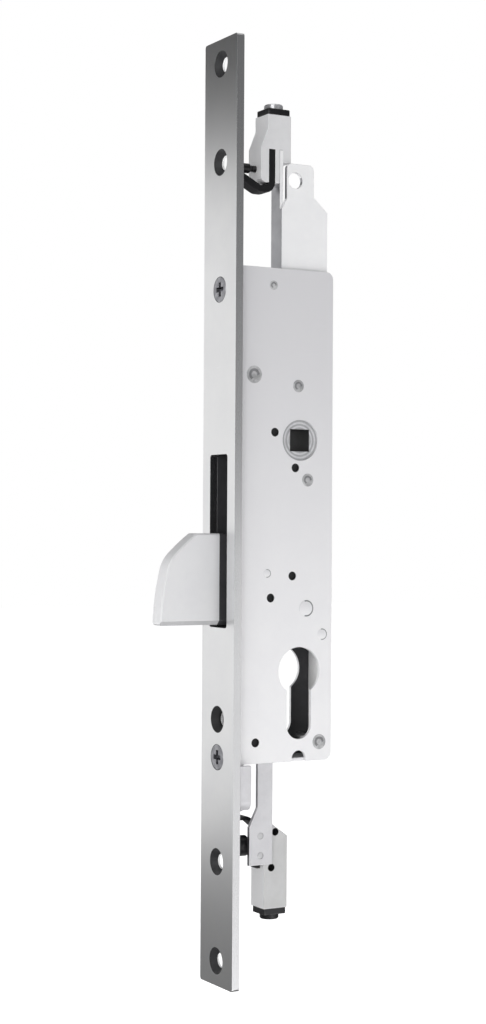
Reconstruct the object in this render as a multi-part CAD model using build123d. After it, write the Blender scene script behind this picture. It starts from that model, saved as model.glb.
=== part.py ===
from build123d import *
import math
import os

# Narrow-stile three-point mortise lock, in millimetres.
# X runs into the door from the front face of the front plate, Y runs across the plate and Z is up.
# The origin is the centre of the plate's front face, midway between the end fixing holes.

# Front plate
plate_length = 345.0
plate_width = 24.0
plate_thickness = 3.0
plate_corner_radius = 1.0
end_hole_inset = 9.0
second_hole_inset = 45.0
fixing_hole_diameter = 5.4
fixing_countersink_diameter = 9.8
case_screw_diameter = 5.0
case_screw_head_diameter = 9.2
case_screw_length = 9.0
case_screw_clearance = 0.15
upper_case_screw_drop = 8.4
lower_case_screw_rise = 2.3
recess_width = 1.1
recess_span = 4.6
recess_depth = 1.6
bolt_slot_width = 13.0
bolt_slot_top = 20.8
bolt_slot_bottom = -42.3
bolt_slot_corner = 1.2

# Case
case_rear = 44.0
case_top = 89.4
case_bottom = -91.8
case_thickness = 15.5
sheet = 1.25
window_margin = 1.2
case_corner_radius = 2.8
cover_notch_radius = 2.9
cover_notch_depth = 4.0

# Hub, square 8 mm, with the cylinder 85 mm below it
backset = 30.0
hub_height = 26.5
hub_to_cylinder = 85.0
hub_square = 8.1
hub_collar_diameter = 14.9
hub_bearing_clearance = 0.05
hub_recess = 0.5
hub_barrel_diameter = 14.4
hub_far_flange_diameter = 19.0
hub_far_flange_thickness = 1.4
running_gap = 0.3

# Pinion and racks
module_size = 1.0
pinion_teeth = 18
pressure_angle = 20.0
tooth_backlash = 0.3
hub_turn_degrees = 90.0
rack_root_extra = 0.25
rack_run_out = 3.0
rack_engagement = 3.0
flank_steps = 4

# Cylinder opening and its fixing screw
cylinder_circle_diameter = 17.5
cylinder_slot_width = 10.3
cylinder_slot_bottom = 25.1
cylinder_screw_drop = 17.2
cylinder_screw_diameter = 5.4

# Bolt
bolt_near = -2.6
bolt_far = 4.4
bolt_relief = 2.2
bolt_relief_front = 2.6
bolt_pivot_back = 33.0
bolt_pivot_height = -35.5
bolt_swing_degrees = 61.5
bolt_throw = 24.8
bolt_top = -8.0
bolt_bottom = -41.2
bolt_top_flat = 10.2
bolt_top_rear = 0.6
bolt_brow_reach = 21.2
bolt_brow_height = -17.8
bolt_brow_radius = 13.0
bolt_brow_bulge = 0.35
bolt_face_bulge = 0.7
bolt_top_radius = 1.6
bolt_toe_radius = 1.2
bolt_bottom_bevel = 1.6
bolt_edge_round = 0.5
bolt_tail_radius = 7.0
bolt_tail_shoulder_height = 6.4
bolt_lobe_radius = 4.6
bolt_pin_diameter = 6.0
bolt_bush_diameter = 8.5
pin_running_clearance = 0.04
drive_pin_diameter = 5.0
drive_slot_clearance = 0.3

# Slides
slide_thickness = 1.5
slide_wall_gap = 0.3
upper_slide_front = 22.4
upper_slide_rear = 42.2
upper_slide_bottom = 66.0
upper_slide_below_block = 9.6
upper_slide_chamfer = 5.4
upper_shoulder_rise = 4.0
upper_neck_front = 24.6
upper_neck_rear = 36.2
upper_neck_corner = 2.0
upper_eye_diameter = 6.0
upper_eye_back = 28.2
upper_eye_drop = 6.2
upper_flange_reach = 7.6
lower_slide_front = 12.4
lower_slide_rear = 20.2
lower_slide_neck_front = 13.6
lower_slide_neck_rear = 19.9
lower_slide_neck_above_case = 4.0
lower_slide_step = 4.0
slide_rail_width = 4.2
lower_slide_flare_length = 7.0
lower_slide_head_front = 10.2
lower_slide_head_overlap = 0.6
drive_arm_rear = 25.8
drive_arm_half_height = 5.2
guide_pin_diameter = 3.0
guide_head_diameter = 5.0
guide_head_thickness = 0.7
guide_slot_clearance = 0.2
upper_guide_back = 33.5
upper_guide_rise = 4.0
lower_guide_back = 16.2
middle_guide_height = -22.5
lowest_guide_below_cylinder = 15.5

# Cam dog on the lower slide, worked by the cylinder's cam
dog_front = 11.4
dog_root = 14.3
dog_rear = 20.4
dog_notch_height = 7.0
dog_prong = 2.0
dog_far_reach = 4.5
dog_rivet_diameter = 1.6
dog_rivet_back = 12.9

# Rod blocks
block_front = 17.3
block_rear = 27.3
block_cheek_front = 14.5
block_half_width = 4.7
upper_block_outer = 146.4
upper_block_length = 25.2
upper_cheek_drop = 5.4
upper_cheek_slope = 7.0
upper_block_rear_length = 17.4
upper_channel_drop = 12.8
block_toe_radius = 2.0
block_edge_round = 0.6
lower_block_outer = -145.6
lower_block_length = 31.8
lower_block_rear_slope = 5.6
lower_block_shoulder_back = 19.6
lower_ear_front = 12.6
lower_ear_drop = 1.8
lower_ear_height = 12.8
lower_ear_thickness = 2.5
ear_rivet_back = 14.9
ear_rivet_inset = 2.8
ear_rivet_diameter = 2.4
collar_height = 2.4
collar_inset = 0.35
socket_outer_diameter = 7.0
socket_bore_diameter = 5.0
socket_depth = 14.0
socket_proud = 2.0
cross_hole_backs = (22.0, 20.4)
cross_hole_drops = (3.8, 16.8)
cross_hole_diameter = 2.8
cross_hole_depth = 3.0

# Clamp brackets and screws
upper_clamp_thickness = 2.6
lower_clamp_thickness = 1.4
clamp_width = 5.6
clamp_gap = 0.05
clamp_front = 6.4
upper_clamp_rear = 20.5
clamp_bend_radius = 3.0
upper_clamp_hook_drop = 2.6
upper_clamp_hook_bend_back = 14.0
upper_clamp_tip_rise = 4.0
lower_clamp_tip_rise = 1.6
lower_clamp_bend_back = 12.0
lower_clamp_bend_drop = 2.2
lower_clamp_length = 17.2
lower_clamp_near = -1.9
upper_clamp_screw_rise = 5.2
lower_clamp_screw_drop = 8.6
upper_clamp_screw_diameter = 2.5
lower_clamp_screw_diameter = 4.0
upper_clamp_head_diameter = 3.6
lower_clamp_head_diameter = 7.6
clamp_screw_front = 6.2
clamp_screw_head_length = 6.0
clamp_screw_reach = 24.0
upper_clamp_key_size = 1.5
lower_clamp_key_size = 2.5
clamp_key_depth = 2.6
clamp_hole_clearance = 0.15

# Lugs behind the front plate
upper_lug_depth = 6.6
lower_lug_depth = 2.6
lower_lug_cheek = 2.0
lower_lug_cheek_depth = 5.0
lug_half_width = 6.0
lower_lug_half_width = 11.4
upper_lug_half_height = 6.0
lower_lug_rise = 7.8
lower_lug_reach = 16.8
lower_lug_round = 4.0
lower_lug_boss_diameter = 9.0
lower_lug_boss_depth = 6.4

# Pillars and rivets: back from the plate's face, height
pillar_places = ((18.3, 83.0), (10.3, 50.0), (29.1, 46.5), (39.9, -45.2), (38.8, -85.0))
pillar_diameter = 4.6
pillar_tenon_diameter = 3.0
bolt_button_back = 33.3
bolt_button_height = 11.9
bolt_button_diameter = 5.6
side_hole_places = ((19.2, 29.2), (28.0, 16.3), (26.9, -23.5), (17.7, -31.5), (11.6, -84.1))
side_hole_diameter = 3.2

# Drag spring behind the bolt
drag_spring_front = 9.0
drag_spring_rear = 33.0
drag_spring_height = -19.0
drag_spring_width = 6.0
drag_spring_thickness = 0.5
drag_spring_foot = 5.0
drag_rivet_diameter = 2.4
drag_rivet_head = 4.4
touch_gap = 0.1

# Worked-out places
case_half = case_thickness / 2
cavity_half = case_half - sheet
rear_inside = case_rear - sheet
front_inside = plate_thickness + sheet
cylinder_height = hub_height - hub_to_cylinder
cylinder_screw_height = cylinder_height - cylinder_screw_drop
pitch_radius = module_size * pinion_teeth / 2
slide_travel = pitch_radius * math.radians(hub_turn_degrees)
slide_near = -cavity_half + slide_wall_gap
slide_far = slide_near + slide_thickness
drive_pin_radius = slide_travel / 2 / math.sin(math.radians(bolt_swing_degrees / 2))
drive_pin_back = bolt_pivot_back - drive_pin_radius * math.cos(math.radians(bolt_swing_degrees / 2))
drive_pin_height = bolt_pivot_height - slide_travel / 2
block_back = (block_front + block_rear) / 2
upper_case_screw_height = case_top - upper_case_screw_drop
lower_case_screw_height = case_bottom + lower_case_screw_rise
lower_lug_top = case_bottom + lower_lug_rise
lower_lug_bottom = case_bottom - lower_lug_reach
upper_block_inner = upper_block_outer - upper_block_length
upper_block_cheek_top = upper_block_outer - upper_cheek_drop
upper_block_rear_step = upper_block_outer - upper_block_rear_length
channel_top = upper_block_outer - upper_channel_drop
lower_block_inner = lower_block_outer + lower_block_length
lower_ear_top = lower_block_inner - lower_ear_drop
lower_ear_bottom = lower_ear_top - lower_ear_height
ear_rivet_heights = (lower_ear_top - ear_rivet_inset, lower_ear_bottom + ear_rivet_inset)
upper_slide_top = upper_block_inner - upper_slide_below_block
upper_neck_top = upper_block_rear_step - slide_wall_gap
upper_guide_height = upper_slide_bottom + upper_guide_rise
lower_guide_heights = (middle_guide_height, cylinder_height - lowest_guide_below_cylinder)
lower_slide_neck_top = case_bottom + lower_slide_neck_above_case
lower_slide_bottom = lower_ear_bottom - lower_slide_head_overlap
lower_slide_flare_bottom = lower_ear_top + lower_slide_head_overlap
upper_clamp_screw_height = upper_block_inner + upper_clamp_screw_rise
lower_clamp_screw_height = lower_block_inner - lower_clamp_screw_drop


def slab(sketch, y_low, y_high):
    """A drawing in X and Z, given thickness from one Y to another."""
    return extrude(Plane.XZ.offset(-y_high) * sketch, amount=y_high - y_low)


def pin_y(back, height, diameter, y_low, y_high):
    """A round pin across the lock."""
    return slab(Pos(back, height) * Circle(diameter / 2), y_low, y_high)


def pin_x(side, height, diameter, x_low, x_high):
    """A round pin that runs into the door."""
    return extrude(Plane.YZ.offset(x_low) * Pos(side, height) * Circle(diameter / 2), amount=x_high - x_low)


def pin_z(back, side, diameter, z_low, z_high):
    """A round pin that stands upright."""
    return extrude(Plane.XY.offset(z_low) * Pos(back, side) * Circle(diameter / 2), amount=z_high - z_low)


def block(x_low, x_high, y_low, y_high, z_low, z_high):
    """A plain block between two corners."""
    size = (x_high - x_low, y_high - y_low, z_high - z_low)
    middle = ((x_low + x_high) / 2, (y_low + y_high) / 2, (z_low + z_high) / 2)
    return Pos(*middle) * Box(*size)


def countersink(height, hole_diameter, head_diameter):
    """A countersunk hole through the front plate, with a 90 degree cone."""
    depth = (head_diameter - hole_diameter) / 2
    cone = Cone(head_diameter / 2, hole_diameter / 2, depth)
    turned = Pos(depth / 2, 0, height) * Rot(0, 90, 0) * cone
    return turned + pin_x(0, height, hole_diameter, 0, plate_thickness)


def guide_slot(back, height, diameter, direction):
    """The slot that lets a slide run its travel over a fixed guide pin."""
    width = diameter + 2 * guide_slot_clearance
    middle = height - direction * slide_travel / 2
    return Pos(back, middle) * Rot(0, 0, 90) * SlotCenterToCenter(slide_travel, width)


def tooth_half_angle(radius):
    """Half the angle that one involute tooth covers at a radius."""
    base_radius = pitch_radius * math.cos(math.radians(pressure_angle))
    pitch_roll = math.tan(math.radians(pressure_angle)) - math.radians(pressure_angle)
    angle_here = math.acos(min(1.0, base_radius / radius))
    roll_here = math.tan(angle_here) - angle_here
    half_at_pitch = (math.pi * module_size / 2 - tooth_backlash / 2) / 2 / pitch_radius
    return half_at_pitch + pitch_roll - roll_here


def pinion_drawing():
    """Eighteen involute teeth, one of them pointing to the rear and one to the front."""
    root_radius = pitch_radius - module_size - rack_root_extra
    tip_radius = pitch_radius + module_size - touch_gap
    base_radius = pitch_radius * math.cos(math.radians(pressure_angle))
    rise = (tip_radius - base_radius) / flank_steps
    radii = [base_radius + rise * step for step in range(flank_steps + 1)]
    flank = [(radius * math.cos(tooth_half_angle(radius)), radius * math.sin(tooth_half_angle(radius)))
             for radius in radii]
    foot = (root_radius * math.cos(tooth_half_angle(base_radius)) - touch_gap,
            root_radius * math.sin(tooth_half_angle(base_radius)))
    right = [foot] + flank
    left = [(x, -y) for x, y in reversed(right)]
    tooth = make_face(Polyline(*right, *left, close=True))
    drawing = Circle(root_radius)
    for index in range(pinion_teeth):
        drawing += Rot(0, 0, 360 / pinion_teeth * index) * tooth
    return Pos(backset, hub_height) * drawing


def rack_teeth(side, first_height, last_height):
    """Straight-sided spaces cut in a slide: side is 1 behind the hub and -1 in front of it."""
    pitch = math.pi * module_size
    slope = math.tan(math.radians(pressure_angle))
    tip = backset + side * (pitch_radius - module_size)
    root = backset + side * (pitch_radius + module_size + rack_root_extra)
    half_pitch_gap = pitch / 4 + tooth_backlash / 4
    half_tip_gap = half_pitch_gap + slope * module_size
    half_root_gap = half_pitch_gap - slope * (module_size + rack_root_extra)
    spaces = Sketch()
    first = math.floor((first_height - hub_height) / pitch)
    last = math.ceil((last_height - hub_height) / pitch)
    for index in range(first, last + 1):
        middle = hub_height + index * pitch
        overrun = tip - side * module_size
        spaces += make_face(Polyline(
            (overrun, middle - half_tip_gap - slope * module_size),
            (root, middle - half_root_gap),
            (root, middle + half_root_gap),
            (overrun, middle + half_tip_gap + slope * module_size),
            close=True,
        ))
    return spaces


def cylinder_drawing():
    """The euro-profile opening: a circle over a round-ended slot."""
    slot_radius = cylinder_slot_width / 2
    slot_low = cylinder_height - cylinder_slot_bottom + slot_radius
    straight = Pos(backset, (cylinder_height + slot_low) / 2) * Rectangle(
        cylinder_slot_width, cylinder_height - slot_low)
    drawing = Pos(backset, cylinder_height) * Circle(cylinder_circle_diameter / 2)
    return drawing + straight + Pos(backset, slot_low) * Circle(slot_radius)


def side_openings():
    """What is cut through both sides of the case."""
    bearing = hub_collar_diameter / 2 + hub_bearing_clearance
    cuts = Pos(backset, hub_height) * Circle(bearing) + cylinder_drawing()
    for back, height in side_hole_places:
        cuts += Pos(back, height) * Circle(side_hole_diameter / 2)
    for back, height in pillar_places:
        cuts += Pos(back, height) * Circle(pillar_tenon_diameter / 2)
    cuts += Pos(bolt_pivot_back, bolt_pivot_height) * Circle(bolt_pin_diameter / 2)
    return cuts + Pos(bolt_button_back, bolt_button_height) * Circle(pillar_tenon_diameter / 2)


def front_plate():
    outline = RectangleRounded(plate_width, plate_length, plate_corner_radius)
    plate = extrude(Plane.YZ * outline, amount=plate_thickness)
    for inset in (end_hole_inset, second_hole_inset):
        for side in (1, -1):
            plate -= countersink(side * (plate_length / 2 - inset), fixing_hole_diameter,
                                 fixing_countersink_diameter)
    for height in (upper_case_screw_height, lower_case_screw_height):
        plate -= countersink(height, case_screw_diameter + 2 * case_screw_clearance,
                             case_screw_head_diameter + 2 * case_screw_clearance)
    plate -= countersink(cylinder_screw_height, cylinder_screw_diameter, fixing_countersink_diameter)
    slot_middle = (bolt_slot_top + bolt_slot_bottom) / 2
    slot = Pos(0, slot_middle) * RectangleRounded(
        bolt_slot_width, bolt_slot_top - bolt_slot_bottom, bolt_slot_corner)
    return plate - extrude(Plane.YZ * slot, amount=plate_thickness)


def case_outline():
    """The case seen from the side, with its two rear corners rounded."""
    width = case_rear - plate_thickness
    height = case_top - case_bottom
    outline = Pos(plate_thickness + width / 2, case_bottom + height / 2) * Rectangle(width, height)
    return fillet(outline.vertices().group_by(Axis.X)[-1], case_corner_radius)


def case_far_side():
    return slab(case_outline() - side_openings(), cavity_half, case_half)


def case_wall(x_low, x_high, z_low, z_high):
    """One wall between the far side and the cover."""
    return block(x_low, x_high, -cavity_half, cavity_half, z_low, z_high)


def case_front_wall_upper():
    """Behind the front plate, from the bolt's window up to the upper lug."""
    return case_wall(plate_thickness, front_inside, bolt_slot_top + window_margin,
                     upper_case_screw_height - upper_lug_half_height)


def case_front_wall_lower():
    """Behind the front plate, from the lower lug up to the bolt's window."""
    wall = case_wall(plate_thickness, front_inside, lower_lug_top, bolt_slot_bottom - window_margin)
    return wall - pin_x(0, cylinder_screw_height, cylinder_screw_diameter, plate_thickness, front_inside)


def case_rear_wall():
    wall = case_wall(rear_inside, case_rear, case_bottom, case_top)
    return wall & slab(case_outline(), -cavity_half, cavity_half)


def case_top_wall():
    """The top, with the window that the upper slide runs through."""
    wall = case_wall(plate_thickness, rear_inside, case_top - sheet, case_top)
    return wall - block(upper_slide_front - 2 * running_gap, rear_inside, -cavity_half,
                        slide_near + upper_flange_reach + 2 * running_gap, case_top - sheet, case_top)


def case_bottom_wall():
    """The bottom behind the lower lug's boss, with the window that the lower slide runs through."""
    wall = case_wall(plate_thickness + lower_lug_boss_depth, rear_inside, case_bottom, case_bottom + sheet)
    return wall - block(lower_slide_neck_front - 2 * running_gap, lower_slide_neck_rear + 2 * running_gap,
                        -cavity_half, slide_far + 2 * running_gap, case_bottom, case_bottom + sheet)


def case_cover():
    """The near side, with a notch in its lower edge."""
    cuts = side_openings() + Pos(lower_guide_back, lower_guide_heights[0]) * Circle(guide_pin_diameter / 2)
    notch_middle = case_bottom + cover_notch_depth - cover_notch_radius
    cuts += Pos(backset, notch_middle) * Circle(cover_notch_radius)
    cuts += Pos(backset, (case_bottom + notch_middle) / 2) * Rectangle(
        2 * cover_notch_radius, notch_middle - case_bottom)
    return slab(case_outline() - cuts, -case_half, -cavity_half)


def case_pillars():
    pillars = []
    for back, height in pillar_places:
        body = pin_y(back, height, pillar_diameter, -cavity_half, cavity_half)
        pillars.append(body + pin_y(back, height, pillar_tenon_diameter, -case_half, case_half))
    return pillars


def bolt_buttons():
    """Two buttons that steady the drawn-in bolt, one on each side of it."""
    buttons = []
    for side, inner in ((-1, bolt_near - running_gap), (1, bolt_far + running_gap)):
        button = pin_y(bolt_button_back, bolt_button_height, bolt_button_diameter,
                       min(inner, side * cavity_half), max(inner, side * cavity_half))
        button += pin_y(bolt_button_back, bolt_button_height, pillar_tenon_diameter,
                        min(inner, side * case_half), max(inner, side * case_half))
        buttons.append(button)
    return buttons


def slide_guide_pins():
    places = [(upper_guide_back, upper_guide_height)]
    places += [(lower_guide_back, height) for height in lower_guide_heights]
    pins = []
    for back, height in places:
        tail = -case_half if height == lower_guide_heights[0] else -cavity_half
        head_low = slide_far + touch_gap
        shank = pin_y(back, height, guide_pin_diameter, tail, head_low)
        head = pin_y(back, height, guide_head_diameter, head_low, head_low + guide_head_thickness)
        pins.append(shank + head)
    return pins


def upper_lug():
    """A nut block inside the case, tapped for the upper case screw."""
    body = block(plate_thickness, plate_thickness + upper_lug_depth, -lug_half_width, lug_half_width,
                 upper_case_screw_height - upper_lug_half_height,
                 upper_case_screw_height + upper_lug_half_height)
    return body - pin_x(0, upper_case_screw_height, case_screw_diameter,
                        plate_thickness, plate_thickness + upper_lug_depth)


def lower_lug():
    """A channel below the case, open to the rear, with a tapped boss for the lower case screw."""
    plate_rear = plate_thickness + lower_lug_depth
    cheek_rear = plate_thickness + lower_lug_cheek_depth
    inside = lower_lug_half_width - lower_lug_cheek
    wide = block(plate_thickness, cheek_rear, -lower_lug_half_width, lower_lug_half_width,
                 lower_lug_bottom, case_bottom)
    wide = fillet(wide.edges().filter_by(Axis.X).group_by(Axis.Z)[0], lower_lug_round)
    wide -= block(plate_rear, cheek_rear, -inside, inside, lower_lug_bottom, case_bottom)
    narrow = block(plate_thickness, plate_rear, -lug_half_width, lug_half_width, case_bottom, lower_lug_top)
    boss = pin_x(0, lower_case_screw_height, lower_lug_boss_diameter,
                 plate_thickness, plate_thickness + lower_lug_boss_depth)
    return wide + narrow + boss - pin_x(0, lower_case_screw_height, case_screw_diameter,
                                        plate_thickness, plate_thickness + lower_lug_boss_depth)


def case_screws():
    screws = []
    for height in (upper_case_screw_height, lower_case_screw_height):
        depth = (case_screw_head_diameter - case_screw_diameter) / 2
        cone = Cone(case_screw_head_diameter / 2, case_screw_diameter / 2, depth)
        head = Pos(depth / 2, 0, height) * Rot(0, 90, 0) * cone
        screw = head + pin_x(0, height, case_screw_diameter, depth, case_screw_length)
        for turn in (0, 90):
            arm = Pos(0, height) * Rot(0, 0, turn) * Rectangle(recess_span, recess_width)
            screw -= extrude(Plane.YZ * arm, amount=recess_depth)
        screws.append(screw)
    return screws


def hub():
    body = pin_y(backset, hub_height, hub_barrel_diameter, -cavity_half, cavity_half)
    body += pin_y(backset, hub_height, hub_collar_diameter, -case_half + hub_recess, slide_far)
    body += slab(pinion_drawing(), slide_near, slide_far)
    flange_far = cavity_half - slide_wall_gap
    flange_near = flange_far - hub_far_flange_thickness
    body += pin_y(backset, hub_height, hub_far_flange_diameter, flange_near, flange_far)
    body += pin_y(backset, hub_height, hub_collar_diameter, flange_near, case_half - hub_recess)
    square = Pos(backset, hub_height) * Rectangle(hub_square, hub_square)
    return body - slab(square, -case_half, case_half)


def bolt_drawing():
    """The bolt from the side: flat top, bulging brow and face, straight lower edge and round tail."""
    top_end = (-bolt_top_flat, bolt_top)
    brow = (-bolt_brow_reach, bolt_brow_height)
    toe = (-bolt_throw, bolt_bottom)
    straight = Polyline(
        toe,
        (bolt_pivot_back, bolt_bottom),
        (bolt_pivot_back, bolt_pivot_height + bolt_tail_shoulder_height),
        (bolt_top_rear, bolt_top),
        top_end,
    )
    face = SagittaArc(toe, brow, bolt_face_bulge)
    outline = make_face(straight + face + SagittaArc(brow, top_end, bolt_brow_bulge))
    for corner, radius in ((top_end, bolt_top_radius), (brow, bolt_brow_radius), (toe, bolt_toe_radius)):
        outline = fillet(outline.vertices().sort_by_distance(corner)[0], radius)
    lobe_middle = ((bolt_pivot_back + drive_pin_back) / 2, (bolt_pivot_height + drive_pin_height) / 2)
    lobe = Pos(*lobe_middle) * Rot(0, 0, bolt_swing_degrees / 2) * SlotCenterToCenter(
        drive_pin_radius, 2 * bolt_lobe_radius)
    return outline + lobe + Pos(bolt_pivot_back, bolt_pivot_height) * Circle(bolt_tail_radius)


def bolt():
    """The swinging bolt: a thick nose, thinner on its near side from the slot inwards."""
    body = slab(bolt_drawing(), bolt_near, bolt_far)
    nose_edges = [edge for edge in body.edges() if edge.bounding_box().max.X < 0 and
                  edge.bounding_box().size.Y < touch_gap]
    body = chamfer(nose_edges, bolt_edge_round)
    bevel = make_face(Polyline(
        (bolt_near, bolt_bottom + bolt_bottom_bevel),
        (bolt_near + bolt_bottom_bevel, bolt_bottom),
        (bolt_near, bolt_bottom),
        close=True,
    ))
    body -= extrude(Plane.YZ.offset(-bolt_throw) * bevel, amount=bolt_throw + bolt_relief_front)
    body -= block(bolt_relief_front, case_rear, bolt_near, bolt_near + bolt_relief, case_bottom, case_top)
    body -= pin_y(bolt_pivot_back, bolt_pivot_height, bolt_bush_diameter, bolt_near, bolt_far)
    return body - pin_y(drive_pin_back, drive_pin_height, drive_pin_diameter, bolt_near, bolt_far)


def bolt_bush():
    reach = cavity_half - slide_wall_gap
    bush = pin_y(bolt_pivot_back, bolt_pivot_height, bolt_bush_diameter, -reach, reach)
    bore = bolt_pin_diameter + 2 * pin_running_clearance
    return bush - pin_y(bolt_pivot_back, bolt_pivot_height, bore, -reach, reach)


def bolt_pivot_pin():
    return pin_y(bolt_pivot_back, bolt_pivot_height, bolt_pin_diameter, -case_half, case_half)


def bolt_drive_pin():
    return pin_y(drive_pin_back, drive_pin_height, drive_pin_diameter, slide_near, bolt_far)


def bolt_drag_spring():
    """A bowed leaf: feet on the case side, crown just off the bolt."""
    wall = cavity_half - drag_spring_thickness / 2
    crown = bolt_far + touch_gap + drag_spring_thickness / 2
    rise_front = drag_spring_front + drag_spring_foot
    middle = (rise_front + drag_spring_rear) / 2
    path = Polyline((drag_spring_front, wall), (rise_front, wall))
    bow = ThreePointArc((rise_front, wall), (middle, crown), (drag_spring_rear, wall))
    strip = trace(path + bow, drag_spring_thickness)
    low = drag_spring_height - drag_spring_width / 2
    leaf = extrude(Plane.XY.offset(low) * strip, amount=drag_spring_width)
    leaf &= block(0, case_rear, 0, cavity_half, low, low + drag_spring_width)
    hole_back = drag_spring_front + drag_spring_foot / 2
    return leaf - pin_y(hole_back, drag_spring_height, drag_rivet_diameter, 0, cavity_half)


def bolt_drag_rivet():
    hole_back = drag_spring_front + drag_spring_foot / 2
    leaf_near = cavity_half - drag_spring_thickness
    shank = pin_y(hole_back, drag_spring_height, drag_rivet_diameter, leaf_near, cavity_half)
    head_near = leaf_near - drag_spring_thickness
    return shank + pin_y(hole_back, drag_spring_height, drag_rivet_head, head_near, leaf_near)


def upper_slide():
    rack_tip = backset + pitch_radius - module_size
    rack_low = hub_height - rack_run_out - rack_engagement
    rack_high = hub_height + slide_travel + rack_run_out
    body = make_face(Polyline(
        (upper_slide_front, upper_slide_bottom),
        (rack_tip, upper_slide_bottom),
        (rack_tip, rack_low),
        (upper_slide_rear, rack_low),
        (upper_slide_rear, upper_slide_top),
        (upper_neck_rear, upper_slide_top + upper_slide_chamfer),
        (upper_neck_rear, upper_neck_top),
        (upper_neck_front, upper_neck_top),
        (upper_neck_front, upper_slide_top + upper_shoulder_rise),
        (upper_slide_front, upper_slide_top + touch_gap),
        close=True,
    ))
    body -= rack_teeth(1, rack_low + module_size, rack_high)
    body -= guide_slot(upper_guide_back, upper_guide_height, guide_pin_diameter, -1)
    body -= Pos(upper_eye_back, upper_neck_top - upper_eye_drop) * Circle(upper_eye_diameter / 2)
    plate = slab(body, slide_near, slide_far)
    corners = plate.edges().filter_by(Axis.Y).group_by(Axis.Z)[-1]
    plate = fillet(corners, upper_neck_corner)
    flange_rear = upper_slide_front + slide_thickness
    flange = block(upper_slide_front, flange_rear, slide_near, slide_near + upper_flange_reach,
                   upper_slide_bottom, upper_slide_top)
    tongue = block(upper_slide_front, flange_rear, slide_far, slide_near + upper_flange_reach,
                   upper_slide_top, channel_top - touch_gap)
    return plate + flange + tongue


def lower_slide():
    rack_root = backset - pitch_radius - module_size - rack_root_extra
    rack_front = rack_root - slide_rail_width
    rack_high = hub_height + rack_run_out
    rack_low = hub_height - slide_travel - rack_run_out - rack_engagement
    arm_low = drive_pin_height - drive_arm_half_height
    arm_high = drive_pin_height + drive_arm_half_height
    body = make_face(Polyline(
        (rack_front, rack_high + module_size),
        (backset - pitch_radius + module_size, rack_high + module_size),
        (backset - pitch_radius + module_size, rack_low),
        (lower_slide_rear, rack_low - lower_slide_step),
        (lower_slide_rear, arm_high),
        (drive_arm_rear, arm_high),
        (drive_arm_rear, arm_low),
        (lower_slide_rear, arm_low),
        (lower_slide_rear, lower_slide_neck_top),
        (lower_slide_neck_rear, lower_slide_neck_top - lower_slide_rear + lower_slide_neck_rear),
        (lower_slide_neck_rear, lower_slide_bottom),
        (lower_slide_head_front, lower_slide_bottom),
        (lower_slide_head_front, lower_slide_flare_bottom),
        (lower_slide_neck_front, lower_slide_flare_bottom + lower_slide_flare_length),
        (lower_slide_neck_front, lower_slide_neck_top - lower_slide_neck_front + lower_slide_front),
        (lower_slide_front, lower_slide_neck_top),
        (lower_slide_front, rack_low - lower_slide_step),
        (rack_front, rack_low),
        close=True,
    ))
    body -= rack_teeth(-1, rack_low, rack_high)
    for height in lower_guide_heights:
        body -= guide_slot(lower_guide_back, height, guide_pin_diameter, 1)
    slot_reach = drive_pin_radius * (1 - math.cos(math.radians(bolt_swing_degrees / 2)))
    slot_width = drive_pin_diameter + 2 * drive_slot_clearance
    slot_middle = drive_pin_back - slot_reach / 2
    body -= Pos(slot_middle, drive_pin_height) * SlotCenterToCenter(slot_reach, slot_width)
    for height in dog_rivet_heights():
        body -= Pos(dog_rivet_back, height) * Circle(dog_rivet_diameter / 2)
    for height in ear_rivet_heights:
        body -= Pos(ear_rivet_back, height) * Circle(ear_rivet_diameter / 2)
    return slab(body, slide_near, slide_far)


def dog_middle():
    """Height of the dog's notch at rest, half a travel below the cylinder's middle."""
    return cylinder_height - slide_travel / 2


def dog_rivet_heights():
    reach = dog_notch_height / 2 + dog_prong / 2
    return (dog_middle() + reach, dog_middle() - reach)


def cam_dog():
    """A fork that the cylinder's cam enters and pushes up or down."""
    half = dog_notch_height / 2 + dog_prong
    body = block(dog_front, dog_rear, slide_far, dog_far_reach, dog_middle() - half, dog_middle() + half)
    body -= block(dog_root, dog_rear, slide_far, dog_far_reach,
                  dog_middle() - dog_notch_height / 2, dog_middle() + dog_notch_height / 2)
    for height in dog_rivet_heights():
        body -= pin_y(dog_rivet_back, height, dog_rivet_diameter, slide_far, dog_far_reach)
    return body


def cam_dog_rivets():
    return [pin_y(dog_rivet_back, height, dog_rivet_diameter, slide_near, dog_far_reach)
            for height in dog_rivet_heights()]


def socket_hole(outer, inner_side):
    """The hole for a rod socket in a block's outer end; inner_side is 1 where the block lies above it."""
    inner = outer + inner_side * (socket_depth - socket_proud - collar_height)
    return pin_z(block_back, 0, socket_outer_diameter, min(outer, inner), max(outer, inner))


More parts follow.
